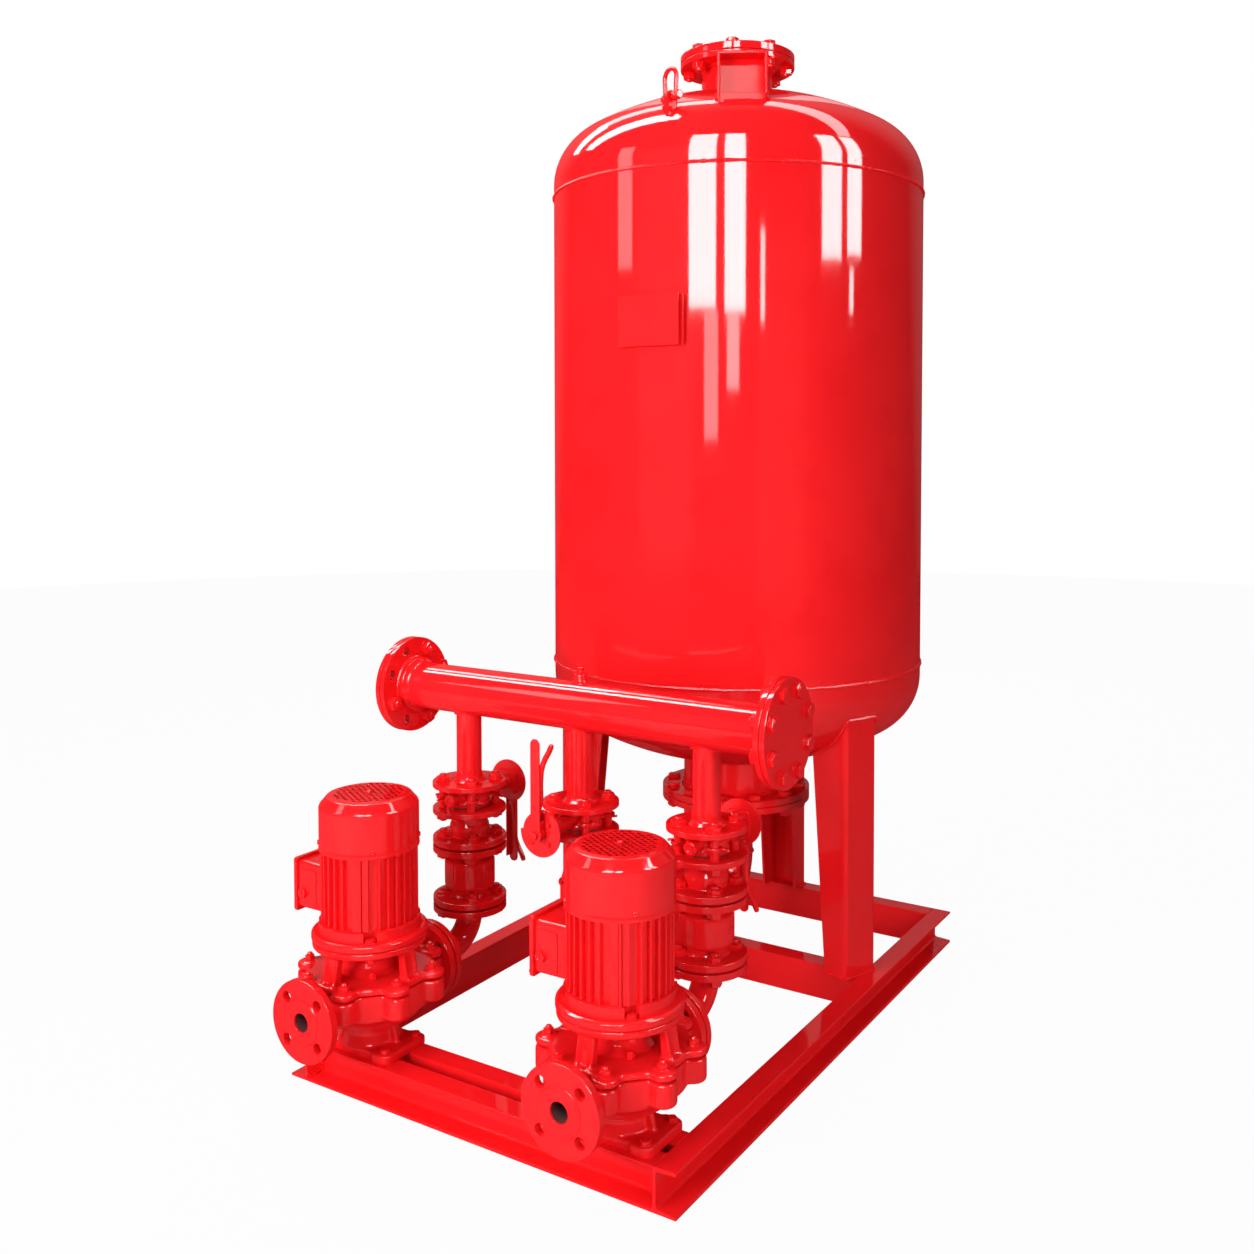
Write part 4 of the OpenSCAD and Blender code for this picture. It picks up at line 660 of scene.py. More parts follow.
s, beads = Shape(), Shape()
for turn, radius in ((-legs["spread"], legs["radius"]), (180 + legs["spread"], legs["radius"]), (90, legs["rear"])):
    place, z, back = onTank(0, turn), legs["foot"] + 1, radius - legs["footDepth"] + 4
    leg, bead = foldedLeg(radius)
    s.add(leg, place)
    beads.add(bead, place).add(weld([(radius + 1, -38, z), (radius + 1, 38, z)], 3.4), place)
    for y in (-43, 43):
        beads.add(weld([(radius - 4, y, z), (back, y, z)], 3), place)
piece("tankLegs", s, "steelEnamel", "tank_legs")
piece("legWelds", beads, "weldEnamel")
print("legs done")

# Bare plate on its bracket
label = {"turn": -86, "z": 1361, "width": 132, "height": 98, "flap": 6, "stand": 10, "face": 2}
w, h = label["width"] / 2, label["height"] / 2
place = onTank(label["z"], label["turn"])
face = place @ at(tank["radius"] + label["face"], 0, 0, 90, 0, 90)              # x to the right, y up, z outwards
wide = w + label["flap"]
s = Shape(plate(eased([(-wide, -h, 2), (wide, -h, 2), (wide, h, 9), (-wide, h, 9)], 2, 5), 2, 0.5), face)
s.add(block(2 * w, 2 * h, 1.6, 0.4, 1.2), face @ up(label["stand"]))
post = spindle([(0, 0.5), (3.6, 0.5), (2.5, 3), (2.5, 8), (3, 9.9), (0, 9.9)], 0.8, 2, 14)
s.add(post, *[face @ at(x, y, 1) for x in (-w + 6, w - 6) for y in (-h + 12, h - 12)])
s.add(block(80, 12, 10, 0.6, 1), *[place @ at(396, 0, z, 0, 0, 90) for z in (-h + 4, h - 14)])
piece("blankPlate", s, "pipeEnamel", "nameplate")

# Box bracket on the shoulder
bracket = {"turn": -60, "width": 97, "reach": 347, "depth": 46, "low": 90, "top": 220, "sheet": 6, "lip": 138}
w, d, t, top = bracket["width"] / 2, bracket["depth"], bracket["sheet"], bracket["top"]
place = onTank(topSeam, bracket["turn"]) @ at(bracket["reach"] - d)
low = headHeight(bracket["reach"]) - 10
cheek = plate(eased([(0, bracket["low"], 0), (d, low, 4), (d, top, 2.5), (0, top, 1)], 1), t, 1.2)
s = Shape(cheek, *[place @ at(0, y, 0, 90) for y in (t - w, w)])
s.add(block(2 * w - 1, t, top - bracket["low"] - 2, 1), place @ at(3, 0, bracket["low"], 0, 0, 90))
s.add(block(d - 1, 2 * w - 1, t, 1.2), place @ at(d / 2, 0, top - t))
lip = [(4 - w, low - 14, 16), (w - 4, low - 14, 16), (w - 4, bracket["lip"], 1.5), (4 - w, bracket["lip"], 1.5)]
s.add(plate(eased(lip, 2, 6), 15.5, 2), place @ at(d - 8, 0, 0, 90, 0, 90))


def weldOnHead(run, size):
    return weld([(x, y, headHeight(hypot(bracket["reach"] - d + x, y)) + 1) for x, y in run], size)


for y in (-w - 1, w + 1):
    s.add(weldOnHead([(x, y) for x in (d, d - 15, d - 30, 3)], 3.4), place)
s.add(weldOnHead([(d + 8, y) for y in (-w + 12, -w / 2, 0, w / 2, w - 12)], 3.8), place)

# Eye and shackle
eye = {"turn": -82, "reach": 368, "lift": 133, "face": -23, "thick": 12, "hole": 12, "radius": 13, "foot": 11}
place = onTank(topSeam, eye["turn"]) @ at(eye["reach"], 0, eye["lift"], 0, 0, eye["face"] - eye["turn"])
outline = arc(eye["radius"], 0, 180, 14) + [(-eye["foot"], -36), (eye["foot"], -36)]
s.add(plate(outline, eye["thick"], 1.6, [circle(eye["hole"] / 2 + 0.1, 20)]),
      place @ at(-eye["thick"] / 2, 0, 0, 90, 0, 90))
footZ = headHeight(eye["reach"]) - eye["lift"] - 2
s.add(weld([(x, y, footZ - 0.5 * y) for x, y in eased(box(16, 24), 4)], 3.4, True), place)
piece("headFittings", s, "bracketEnamel", "head_fittings")

shackle = {"bar": 9, "gap": 26, "height": 54, "pin": 5.5, "ear": (5.56, 9, 4.5), "head": 8.5, "over": 4}
bend = (shackle["gap"] + shackle["bar"]) / 2
half = bend + shackle["bar"] / 2 + shackle["over"]
bow = [(-bend, 0, 6), (-bend, 0, 20)] + [(-(bend + 1.5) * cos(a), 0, shackle["height"] - bend + bend * sin(a))
                                         for a in [pi * k / 18 for k in range(19)]] + [(bend, 0, 20), (bend, 0, 6)]
inner, outer, side = shackle["ear"]
s = Shape(tube(bow, shackle["bar"] / 2, 16))
s.add(ringOf(inner, outer, -side, side, 1.4, 28), *[at(x, 0, 0, 0, 90) for x in (-bend, bend)])
pin, head = shackle["pin"], shackle["head"]
s.add(spindle([(0, -half), (pin, -half), (pin, half - 1), (head, half - 1), (head, half + 5), (0, half + 5)],
              1.2, 3, 24), at(0, 0, 0, 0, 90))
piece("shackleBow", Shape(cast(s.mesh(), 0.9, 3), place), "pipeEnamel", "shackle", body="shackle", sharp=0)
print("tank fittings done")

# Header with its blinds and risers; all branch flanges share the sizes of branch
header = {"radius": 44.5, "length": 818, "y": 327, "z": 649, "flange": 92.5, "thick": 10, "hub": 53.5, "pcd": 145,
          "hole": 9, "blindGap": 1, "leftBolts": (67.5, 22.5, -22.5, -67.5, -157.5)}
branch = {"x": (-264, 0, 264), "riserZ": 467, "flange": 70, "pcd": 100, "pipe": 24, "bore": 20}
outerBranches = branch["x"][::2]
middle = at(0, header["y"], header["z"])
alongX = middle @ at(0, 0, 0, 0, 90)
half, hub, r, thick = header["length"] / 2, header["hub"], header["radius"], header["thick"]


def overPipe(x, z, *turns):
    return at(x, header["y"], z, *turns)


def branchBolts(place):
    return around(4, branch["pcd"] / 2, 45, place)


def saddleWeld(pipeRadius, drumRadius, size, steps=72):
    # Round a pipe that stands on the side of a drum along x
    return weld([(x, y, sqrt(drumRadius ** 2 - y * y)) for x, y in circle(pipeRadius + 0.8, steps)], size, True, 4.2)


s = Shape(spindle([(0, 1 - half), (hub, 1 - half), (hub, 20 - half, 4), (r, 29 - half, 9), (r, half - 29, 9),
                   (hub, half - 20, 4), (hub, half - 1), (0, half - 1)], 1, 5, 96), alongX)
drilled = plate(circle(header["flange"], 112), thick, 1.5,
                [circle(header["hole"], 24, x, y) for x, y in circle(header["pcd"] / 2, 8, start=22.5)])
s.add(drilled, alongX @ up(-half), alongX @ up(half - thick))
for side in (-1, 1):
    s.add(roundWeld(hub + 1, 2.6, side * (half - thick - 1), 80), alongX)
s.add(saddleWeld(branch["pipe"], r, 3.4), *[middle @ at(x, 0, 0, 180) for x in branch["x"]])
s.add(spindle([(0, 40), (19, 41, 2), (14, 47, 5), (11.5, 58, 1.5), (0, 58)], 1, 5, 32), middle)
piece("headerPipe", s, "pipeEnamel", "header_pipe")

rim, pipe, bore = branch["flange"], branch["pipe"], branch["bore"]
riser = lathe([(bore, 0), (rim, 0), (rim, 10), (34, 10, 3), (26, 16, 6), (pipe, 26, 5), (pipe, 152), (bore, 152)],
              1.3, 4)
risers = Shape(riser, *[overPipe(x, branch["riserZ"]) for x in branch["x"]])
piece("headerRisers", risers, "pipeEnamel", "header_risers")

gap = header["blindGap"]
blinds = Shape(drilled, alongX @ up(-half - thick - gap), alongX @ up(half + gap))
piece("headerBlinds", blinds, "pipeEnamel", "header_blinds")

s = Shape(hexBlock(16, 8), middle @ up(56.5))
s.add(spindle([(0, 64), (7, 64), (6.2, 71.5), (0, 71.5)], 1.6, 3, 20), middle)
piece("gaugePlug", s, "boltEnamel", "gauge_plug")

blindBolt = fastener(16, 21)
bolts.add(blindBolt, *around(8, header["pcd"] / 2, 22.5, alongX @ up(half + thick + gap)))
for a in header["leftBolts"]:
    bolts.add(blindBolt, middle @ at(-half - thick - gap, 0, 0, 0, -90) @ up(0, 90 - a) @ at(header["pcd"] / 2))
print("header done")

# Pipe to the tank
lower = {"radius": 38, "bend": 90, "run": 130, "reducerLow": 327, "reducerHigh": 377}


def bendPath(start, towards, rise, radius, steps=18):
    # Quarter bend that leaves start along rise and ends along towards
    start, towards, rise = Vector(start), Vector(towards), Vector(rise)
    angles = [pi / 2 * k / steps for k in range(steps + 1)]
    return [start + towards * radius * (1 - cos(a)) + rise * radius * sin(a) for a in angles]


y, r, size, low, tankY = header["y"], lower["bend"], lower["radius"], lower["reducerLow"], tank["y"]
turnZ, joint = lower["run"] + r, tank["bottomJoint"] - bottomNeck["thick"]
back = bendPath((0, tankY, turnZ), (0, -1, 0), (0, 0, -1), r)[::-1]
run = [(0, y, low)] + bendPath((0, y, turnZ), (0, 1, 0), (0, 0, -1), r) + back + [(0, tankY, joint)]
s = Shape(tube(run, size, 48))
s.add(spindle([(0, 0), (size, 0, 8), (pipe, 50, 10), (pipe, 90), (rim, 90), (rim, 100), (0, 100)], 1.3, 5),
      overPipe(0, low))
for place, ring in ((overPipe(0, low), 38.5), (overPipe(0, lower["reducerHigh"]), 24.5), (overPipe(0, turnZ), 38.5),
                    (at(0, y + r, lower["run"], 90), 38.5), (at(0, tankY - r, lower["run"], 90), 38.5),
                    (onTank(turnZ), 38.5), (onTank(joint - 1.5), 39.5), (overPipe(0, 416), 25)):
    s.add(roundWeld(ring, 2.8), place)
piece("tankBranch", s, "pipeEnamel", "tank_branch")
print("tank branch done")

# Outer branches: elbows, check valves, flexible joints
stack = {"elbowBend": 57, "port": 167, "elbowFace": 210, "elbowZ": 228, "flange": 12, "checkZ": 244, "flexZ": 359,
         "valveZ": 447, "checkL": 111}
s = Shape()
r, port, face, thick = stack["elbowBend"], stack["port"], stack["elbowFace"], stack["flange"]
flange = ringOf(18, rim, 0, thick, 1.5, 72)
for x in outerBranches:
    run = [(x, face + 4, port), (x, y - r - 20, port)]
    run += bendPath((x, y - r, port), (0, 0, 1), (0, 1, 0), r, 16) + [(x, y, stack["elbowZ"] + 6)]
    s.add(tube(run, pipe, 40))
    s.add(flange, overPipe(x, stack["elbowZ"]), at(x, face, port, -90))
    s.add(roundWeld(25.5, 3.2, 0, 48), overPipe(x, stack["elbowZ"] - 1.5), at(x, face + thick + 1.5, port, 90))
    s.add(roundWeld(24.4, 2.2, 0, 48), at(x, y - r - 1, port, 90))
piece("dischargeElbows", s, "pipeEnamel", "discharge_elbows")

check = lathe([(21, 0), (rim, 0), (rim, 12), (41, 12, 4), (37, 17, 4), (37, 26, 4), (47, 30, 3), (48, 35, 2),
               (48, 76, 2), (47, 81, 3), (37, 85, 4), (37, 94, 4), (41, 99, 4), (rim, 99), (rim, 111), (21, 111)],
              1.5, 4, 72)
partingLine, button = block(1.4, 4, 47, 0.5, 0.6), ringOf(0, 7, 0, 3, 1, 20)
s = Shape()
for x in outerBranches:
    place = overPipe(x, stack["checkZ"])
    s.add(check, place)
    for turn in (-90, 90):
        s.add(partingLine, place @ up(32, turn) @ at(47.6, 0, 0, 0, 0, 90))
        s.add(button, place @ up(56, turn + 90) @ at(46.8, 0, 0, 0, 90))
piece("checkBodies", s, "castEnamel", "check_bodies")

flex = lathe([(21, 0), (rim, 0), (rim, 12), (35, 12, 2), (36.5, 16, 2), (38, 24, 8), (37.5, 33, 6), (33.5, 42, 3),
              (34.5, 45, 1.5), (31.5, 48, 1.5), (33, 51, 1.5), (31, 55, 1), (31, 58), (rim, 58), (rim, 68), (21, 68)],
             1.5, 4, 72)
piece("flexJoints", Shape(flex, *[overPipe(x, stack["flexZ"]) for x in outerBranches]), "pipeEnamel", "flex_joints")

longStud, jointBolt, plainBolt = (fastener(16, grip, grip > 20, 4.5) for grip in (60, 28, 14))
for x in branch["x"]:
    bolts.add(longStud, *branchBolts(overPipe(x, branch["riserZ"] + 10)))
for x in outerBranches:
    for z in (thick, stack["checkL"] + 16):
        bolts.add(jointBolt, *branchBolts(overPipe(x, stack["checkZ"] + z)))
    bolts.add(plainBolt, *branchBolts(at(x, face + thick, port, -90)))
piece("flangeBolts", bolts, "boltEnamel", "flange_bolts")
print("branches done")

# Butterfly valves
valve = {"ring": 40, "half": 18, "neck": 118, "pad": 46, "padThick": 6, "index": 42.5, "indexInner": 37.2,
         "indexArc": (177, 436.3), "indexThick": 4, "lever": 168, "leverWidth": 20, "leverDepth": 14,
         "latchLift": 5.8, "latchBar": 4.9}


def atValve(i):
    return overPipe(branch["x"][i], stack["valveZ"], 0 if i == 1 else 180)


ring, half = valve["ring"], valve["half"]
body = Shape(lathe([(24.5, -half), (38, -half), (ring, -15.5), (ring, -9), (37.5, -7), (37.5, 7), (ring, 9),
                    (ring, 15.5), (38, half), (24.5, half)], 1.2))
ear = Shape(ringOf(9.3, 13.2, -3.5, 3.5, 1.4, 28)).add(block(18, 6, 6, 1.2, 1), at(-16, 0, -3))
for side in (-1, 1):
    ear.add(tube([(-1, side * 12.5, 0), (5, side * 15.5, 0), (9, side * 20, 1), (14, side * 21, 2)], 2.6, 10))
body.add(ear.mesh(), *branchBolts(Matrix()))
body.add(spindle([(0, 30), (14.5, 30, 4), (12.5, 42, 3), (12.5, 57), (11, 60), (6, 60), (5, 57.5), (0, 57.5)],
                 1.4, 3, 32), at(0, 0, 0, -90))
body.add(spindle([(0, 30), (17, 30, 4), (13, 44, 6), (13, 112), (0, 112)], 1, 4, 32), at(0, 0, 0, 90))
body = cast(body.mesh(), 1.5, 3)
pad = block(valve["pad"], valve["pad"], valve["padThick"], 1.4, 7, 4)
start, end = valve["indexArc"]
index = plate(arc(valve["index"], start, end, 88) + arc(valve["indexInner"], end - 360, start, 44),
              valve["indexThick"], 0.7, [circle(6.3, 24)])
padBolt = fastener(6, 8, False)
bodies, plates = Shape(), Shape()
for i in range(3):
    face = atValve(i) @ at(0, -valve["neck"], 0, 90)
    bodies.add(body, atValve(i)).add(pad, face @ up(-valve["padThick"]))
    plates.add(index, face).add(padBolt, *around(4, 25, 45, face @ up(valve["indexThick"])))
piece("valveBodies", bodies, "castEnamel", "valve_bodies")
piece("indexPlates", plates, "pipeEnamel", "index_plates")

w, length, depth = valve["leverWidth"] / 2, valve["lever"], valve["leverDepth"]
bar = [(-w, 12, 6)] + arc(13, 205, 335, 14) + [(w, 12, 6)] + arc(w, 0, 180, 12, 0, length - w)
lever = Shape(plate(eased(bar, 0, 3), 3.2, 1.3), up(depth - 3.2))
lever.add(block(2.6, length - 26, depth - 1.5, 0.8, 0.8), at(-w + 1.3, length / 2 + 1, 0.2))
lever.add(block(2.6, 16, depth - 1.5, 0.8, 0.8), at(w - 1.3, 17, 0.2))
lever.add(ringOf(6.2, 12.6, 0, depth - 1, 0.8, 40)).add(ringOf(0, 9, depth - 0.3, depth + 1.2, 0.5, 28))
lever.add(hexBlock(15, 4.2, 0.9), up(depth + 1))
lever.add(spindle([(0, 3), (2, 3), (2, 10), (3.4, 10), (3.4, depth + 1.2), (0, depth + 1.2)], 0.5, 2, 16), at(-2.5, 47))
lever = lever.mesh()

strip = [(2.5, 37.5), (7.5, 37.5), (7.5, 44), (11.5, 60), (11.5, 78), (3, 78), (2.5, 62), (-2, 51), (-6.5, 50),
         (-6.5, 44), (0, 42)]
handle = [(7.2, 68), (7.5, 90), (8.6, 110), (12, 124), (18, 136), (25, 147), (29.4, 156), (30.6, 159.5), (31, 160.6)]
latch = Shape(plate(eased(strip, 1.5, 2), 7, 1.2, [circle(2.1, 14, -2.5, 47)]), up(3))
latch.add(block(4.8, 4, 9, 0.5, 0.8), at(5, 39.6, -4.9))
latch.add(tube([(x, y, valve["latchLift"]) for x, y in handle], valve["latchBar"], 18, False,
               [0.85, 0.85, 0.9, 1, 1, 1, 1, 0.8, 0.4]))
latch = latch.mesh()
for i, side in enumerate(("left", "tank", "right")):
    place = atValve(i) @ at(0, -valve["neck"] - 5, 0, 90)
    piece("valveLever_" + side, Shape(lever, place), "pipeEnamel", "valve_%s_lever" % side, body="valve_" + side)
    piece("valveLatch_" + side, Shape(latch, place), "pipeEnamel", "latch_" + side, body="trigger_" + side)
print("valves done")

# Pump casings
pump = {"pitch": 528, "y": 60, "port": 167, "suction": 160, "discharge": 148, "studCircle": 113, "studs": 8,
        "lobe": 21, "waist": 108, "blend": 13, "footWidth": 172, "footDepth": 104, "foot": 70, "footThick": 15,
        "footBolts": (70, 38), "portFlange": 14.5, "portHole": 9}
sides = {"left": -pump["pitch"] / 2, "right": pump["pitch"] / 2}
ports = ((90, pump["suction"]), (-90, pump["discharge"]))


def onPumps(*parts, slot="painted_castings"):
    # The same parts on both pumps; a node name has a place for left or right
    for side, x in sides.items():
        for name, part, finish, node in parts:
            piece(name + "_" + side, Shape(part, at(x, pump["y"])), finish, node and node % side)


def onPort(turn, reach=0):
    return at(0, 0, pump["port"], turn) @ up(reach)


def lobedOutline(waist):
    # Round waist with lobes for the studs, joined by hollow curves
    lobe, blend, centre, count = pump["lobe"], pump["blend"], pump["studCircle"], pump["studs"]
    reach, span = waist + blend, lobe + blend
    gap = acos((reach ** 2 + centre ** 2 - span ** 2) / (2 * reach * centre))
    cx, cy = reach * cos(gap), reach * sin(gap)
    edge, gap = degrees(atan2(cy, cx - centre)), degrees(gap)
    wing = arc(lobe, 0, edge, 7, centre, 0) + arc(blend, edge + 180, gap + 180, 5, cx, cy)[1:]
    wing += [(waist * cos(radians(a)), waist * sin(radians(a))) for a in (gap + 2, 180 / count - 0.01) if a > gap + 1]
    outline = []
    for k in range(count):
        a = radians((k + 0.5) * 360 / count)
        outline += [(x * cos(a) - y * sin(a), x * sin(a) + y * cos(a)) for x, y in
                    [(x, -y) for x, y in wing[:0:-1]] + wing]
    return outline


bowl = Shape(spindle([(0, 128), (84, 128, 7), (90, 138, 5), (97, 146, 6), (107, 151, 7), (108, 196), (0, 196)],
                     1, 4, 96))
bowl.add(plate(lobedOutline(pump["waist"] - 1), 37, 4), up(157))
bowl.add(spindle([(0, 78), (54, 78), (46, 104, 14), (50, 132), (0, 132)], 1, 5))
for wide, place in ((66, at(0, 4.5, 82, 90)), (50, at(-4.5, 0, 82, 90, 0, 90))):
    bowl.add(plate(eased([(-wide, 0), (wide, 0), (wide - 12, 50), (12 - wide, 50)], 4), 9, 2.5), place)
w, d = pump["footWidth"] / 2, pump["footDepth"] / 2
foot = [(-w, -d, 15), (-w + 34, -d, 6), (-w + 40, -d + 5, 6), (w - 40, -d + 5, 6), (w - 34, -d, 6), (w, -d, 15)]
foot += [(-x, -y, r) for x, y, r in foot]
bowl.add(plate(eased(foot, 4, 4), pump["footThick"] + 2, 3), up(pump["foot"] - 2))
for turn, reach in ports:
    neck = [(16.4, 40), (36, 60), (30, 100, 20), (31, reach - 24, 6), (38, reach - 10), (16.4, reach - 10)]
    bowl.add(lathe(neck, 1, 5, 56), onPort(turn))

casing = Shape(cast(bowl.mesh(), 2.1, 4))
drilling = [circle(pump["portHole"], 24, x, y) for x, y in circle(branch["pcd"] / 2, 4, start=45)]
portFlange = plate(circle(rim, 88), pump["portFlange"], 2.2, drilling + [circle(16, 40)])
raisedFace = lathe([(16, 0), (39.5, 0, 0.5), (37.5, 3, 1.5), (16, 3, 1.5)])
fillet = lathe([(30, -3), (37, -3, 4), (33, -12, 5), (30, -12)], 1, 4, 48)
# A dark tube closed at its inner end in each port: the bore's inside, its dark colour partly bare cast iron and partly
# painted shade of the bore's depth
boreShadeLiners = Shape()
for turn, reach in ports:
    casing.add(portFlange, onPort(turn, reach - 16.5)).add(raisedFace, onPort(turn, reach - 3))
    casing.add(fillet, onPort(turn, reach - 15))
    boreShadeLiners.add(turned([(0, 92), (14, 92), (15.9, 94), (15.9, reach - 4), (16.5, reach - 4), (16.5, 90), (0, 90)], 40),
              onPort(turn))
onPumps(("pumpCasing", casing.mesh(), "castEnamel", "pump_%s_casing"), ("portShadeLiner", boreShadeLiners.mesh(), "portShade", ""))
print("pump casings done")

# Covers with their lanterns
lantern = {"low": 197.8, "plate": 11, "head": (62, 98.5, 254, 265.6), "ribs": (-12, 12), "ribThick": 7, "boss": 13}
s = Shape(plate(lobedOutline(pump["waist"] + 1), lantern["plate"], 3), up(lantern["low"]))
s.add(lathe([(14, 199), (62, 199), (56, 209, 8), (45, 218, 8), (40, 230, 3), (14, 230)], 1, 5))
rib = plate(eased([(84, 204), (107, 204), (99, 216), (91, 257), (77, 257)], 3), lantern["ribThick"], 2.2)
web = plate(eased([(85, 204), (95, 204), (89, 257), (80, 257)], 2), 26, 1.5)
for turn in range(0, 360, 90):
    for y in lantern["ribs"]:
        s.add(rib, up(0, turn) @ at(0, y + lantern["ribThick"] / 2, 0, 90))
    s.add(web, up(0, turn) @ at(0, 13, 0, 90))
s.add(ringOf(0, lantern["boss"], 205, 210.5, 1.5, 28), *around(pump["studs"], pump["studCircle"], 22.5))
inner, outer, low, high = lantern["head"]
s.add(lathe([(inner, low), (outer, low, 3), (outer, high, 2), (inner, high)], 1.2, 4, 80))
onPumps(("pumpCover", cast(s.mesh(), 1.9, 3), "castEnamel", "pump_%s_cover"))
print("covers done")

# Motors
motor = {"joint": 266, "flange": 100, "flangeThick": 14, "shield": 88, "bite": 12, "bolts": 83, "finLow": 298,
         "length": 132, "fins": 32, "finTip": 83.5, "core": 75.5, "rib": 56.25, "cowlLow": 422, "cowl": 86,
         "cowlTop": 515, "screws": (-42, 48, 138, 228)}
z, rim, shield, bite, bolt = motor["joint"], motor["flange"], motor["shield"], motor["bite"], motor["bolts"]
s = Shape(lathe([(13, z), (96, z), (rim, z + 2, 2), (rim, z + 11, 3), (95, z + 14, 3), (13, z + 14)], 1, 4, 96))
cut = degrees(acos((shield ** 2 + bolt ** 2 - bite ** 2) / (2 * shield * bolt)))
bites = []
for centre in (45, 135, 225, 315):          # the end shield, with a bite out of its edge round each nut
    bites += arc(shield, centre - 90 + cut, centre - cut, 16)
    cx, cy = bolt * cos(radians(centre)), bolt * sin(radians(centre))
    a, b = [degrees(atan2(shield * sin(radians(edge)) - cy, shield * cos(radians(edge)) - cx)) % 360
            for edge in (centre - cut, centre + cut)]
    bites += arc(bite, a, b if b < a else b - 360, 10, cx, cy)[1:-1]
s.add(plate(bites, 20, 2.6), up(z + motor["flangeThick"] - 2))
low, high, tip = motor["finLow"], motor["finLow"] + motor["length"] - 2, motor["finTip"]
s.add(ringOf(40, motor["core"], low - 3, high, 0.6, 96))
fin = plate(eased([(70, -2.6), (tip, -1.9, 1.2), (tip, 1.9, 1.2), (70, 2.6)], 0.4, 3), high - low, 1.2)
for k in range(motor["fins"]):
    a = 360 * k / motor["fins"]
    if abs(abs(a - 180) - 180 + motor["rib"]) > 12:
        s.add(fin, up(low, a))
ribFace = [(64, -14), (82.6, -14), (82.9, -2.4), (77, -2.2), (77, 2.2), (82.9, 2.4), (82.6, 14), (64, 14)]
ribFace, strip = plate(eased(ribFace, 1.2, 3), high - low, 1.2), block(14, 4.4, motor["length"] + 9, 1.2, 1.4)
for a in (-motor["rib"], motor["rib"]):
    s.add(ribFace, up(low, a)).add(strip, up(low - 17, a) @ at(78.6))
s.add(ringOf(60, 83.6, motor["cowlLow"] - 1, motor["cowlLow"] + 7, 1, 80))
s.add(block(40, 80, 80, 1.5, 3), at(-67, 0, 301))
onPumps(("pumpMotor", s.mesh(), "castEnamel", "pump_%s_motor"))

grille = {"pitch": 10.8, "hole": 4.5, "from": 10, "to": 60, "radius": 66, "thick": 1.6}
low, top, r = motor["cowlLow"], motor["cowlTop"], motor["cowl"]
hood = Shape(lathe([(r - 2, low), (r + 0.9, low, 0.6), (r + 0.6, low + 5, 2), (r, low + 9, 3), (r, low + 75, 9),
                    (r - 13, top - 2.4, 5), (64, top, 0.8), (64, top - 2, 0.4), (r - 15.5, top - 4.2, 4),
                    (r - 2, low + 74, 8)], 0.6, 5, 96))
rows = range(-9, 10)
centres = [(grille["pitch"] * (i + j / 2), grille["pitch"] * j * sqrt(3) / 2) for i in rows for j in rows]
holes = [circle(grille["hole"], 6, x, y, 30) for x, y in centres if grille["from"] < hypot(x, y) < grille["to"]]
hood.add(plate(circle(grille["radius"], 80), grille["thick"], 0.25, holes), up(top - 1.9, 30))
hood.add(fastener(6, 3, False), up(top - 0.4))
screw = spindle([(0, 0), (4.6, 0), (4, 2.4), (1.6, 2.8), (1, 2), (0, 2)], 0.6, 2, 18)
hood.add(screw, *[up(low + 12, a) @ at(r - 0.3, 0, 0, 0, 90) for a in motor["screws"]])
onPumps(("pumpCowl", hood.mesh(), "pipeEnamel", "pump_%s_cowl"), slot="red_paint")

terminal = {"low": 293, "width": 96, "reach": 139, "lid": 8, "inner": 84, "pad": 76, "screw": 41}
w, out, inner = terminal["width"], terminal["reach"], terminal["inner"]
case = Shape(block(inner, inner, out - 50, 2.5, 7), at(4 - out, 0, 0, 0, 90))
case.add(block(w, w, terminal["lid"], 2, 6, 4), at(-out, 0, 0, 0, 90))
case.add(block(terminal["pad"], terminal["pad"], 3, 1.2, 5, 4), at(-out - 0.6, 0, 0, 0, 90))
corner = terminal["screw"]
case.add(fastener(5, 3, False), *[at(0.6 - out, x, y, 0, -90) for x in (-corner, corner) for y in (-corner, corner)])
case.add(spindle([(0, 0), (11, 0), (11, 3), (9, 3.5), (8.6, 10), (5, 11.5), (3.4, 10), (0, 10)], 0.9, 3, 28),
         at(22 - out, -41, -12, 90))
case.add(hexBlock(22, 4, 1), at(22 - out, -42, -12, 90)).add(block(40, 66, 2.4, 0.8, 5), at(31 - out, -41.4, -4, 90))
case = case.mesh()

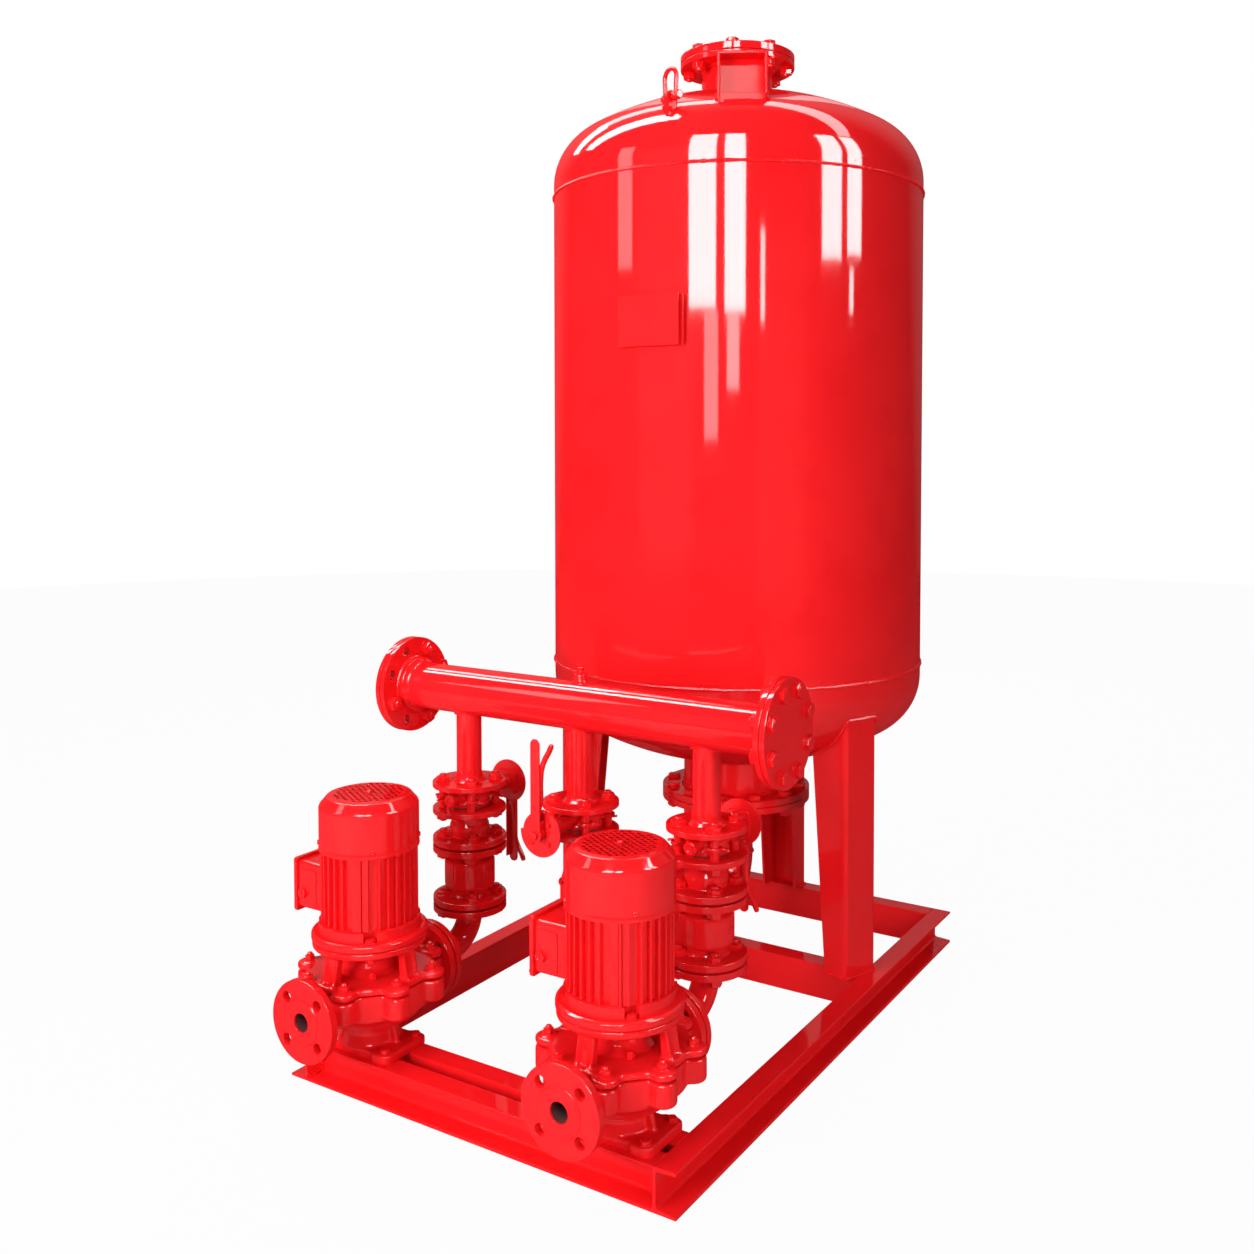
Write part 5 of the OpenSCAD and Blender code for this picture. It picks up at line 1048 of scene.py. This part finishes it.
stud = Shape(ringOf(4, 10, 0, 1.4, 0.4, 20)).add(hexBlock(18, 7.6, 1.1), up(1.2))
stud.add(spindle([(0, 2), (5, 2), (5, 12), (4, 13.6), (0, 13.8)], 0.8, 2, 18))
stud, flangeBolt, footBolt, plug = stud.mesh(), fastener(10, 26), fastener(10, 23), ringOf(0, 5, 216, 220.5, 1.2, 18)
boxes, s = Shape(), Shape()
(footX, footY), footTop = pump["footBolts"], pump["foot"] + pump["footThick"]
for x in sides.values():
    place = at(x, pump["y"])
    boxes.add(case, place @ up(terminal["low"] + w / 2))
    s.add(stud, *around(pump["studs"], pump["studCircle"], 22.5, place @ up(209.6)))
    s.add(flangeBolt, *around(4, bolt, 45, place @ up(motor["joint"] + motor["flangeThick"])))
    s.add(footBolt, *[place @ at(a, b, footTop) for a in (-footX, footX) for b in (-footY, footY)])
    s.add(hexBlock(14, 8, 1), place @ up(206, -42) @ at(63, 0, 4)).add(plug, place @ up(0, -42) @ at(63))
piece("terminalBoxes", boxes, "castEnamel", "terminal_boxes")
piece("pumpBolts", s, "boltEnamel", "pump_bolts")
print("motors done")

# Pieces that keep the model's own shape
carried = {
    "brightSteel": ["pump_left_shaft", "pump_right_shaft", "check_spring_left", "check_spring_right", "shaft_bearings"],
    "discSteel": ["valve_left_disc", "valve_right_disc", "valve_tank_disc", "check_disc_left", "check_disc_right"],
    "castBronze": ["pump_left_impeller", "pump_right_impeller"],
    "windings": ["motor_stators"],
    "rubber": ["tank_bladder", "shaft_seals", "gaskets"],
    "plastic": ["pump_left_fan", "pump_right_fan"],
}
for finish, names in carried.items():
    for name in names:
        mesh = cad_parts[name].data
        mesh.materials.clear()
        mesh.materials.append(finishes[finish])

ground = {"radius": 9000, "thick": 20, "gap": 0.2, "dark": colour(0.34, 0.34, 0.35), "pale": colour(0.38, 0.38, 0.39),
          "white": 0.97}
floor = bpy.data.objects.new("floor", plate(circle(ground["radius"], 64), ground["thick"], 0))
floor.data.transform(toMetres @ up(-ground["thick"] - ground["gap"]))
scene.collection.objects.link(floor)
p = newPaint("paleFloor")
p.surface({"Base Color": p.blend(p.ramp(p.grain(3, 2), 0.2, 0.9), ground["dark"], ground["pale"]),
           "Roughness": p.grain(14, 2) * 0.1 + 0.55, "Normal": p.bump(p.grain(500, 1), 0.05, 0.0004)}, ground["white"])
floor.data.materials.append(p.owner)

print("scene ready")
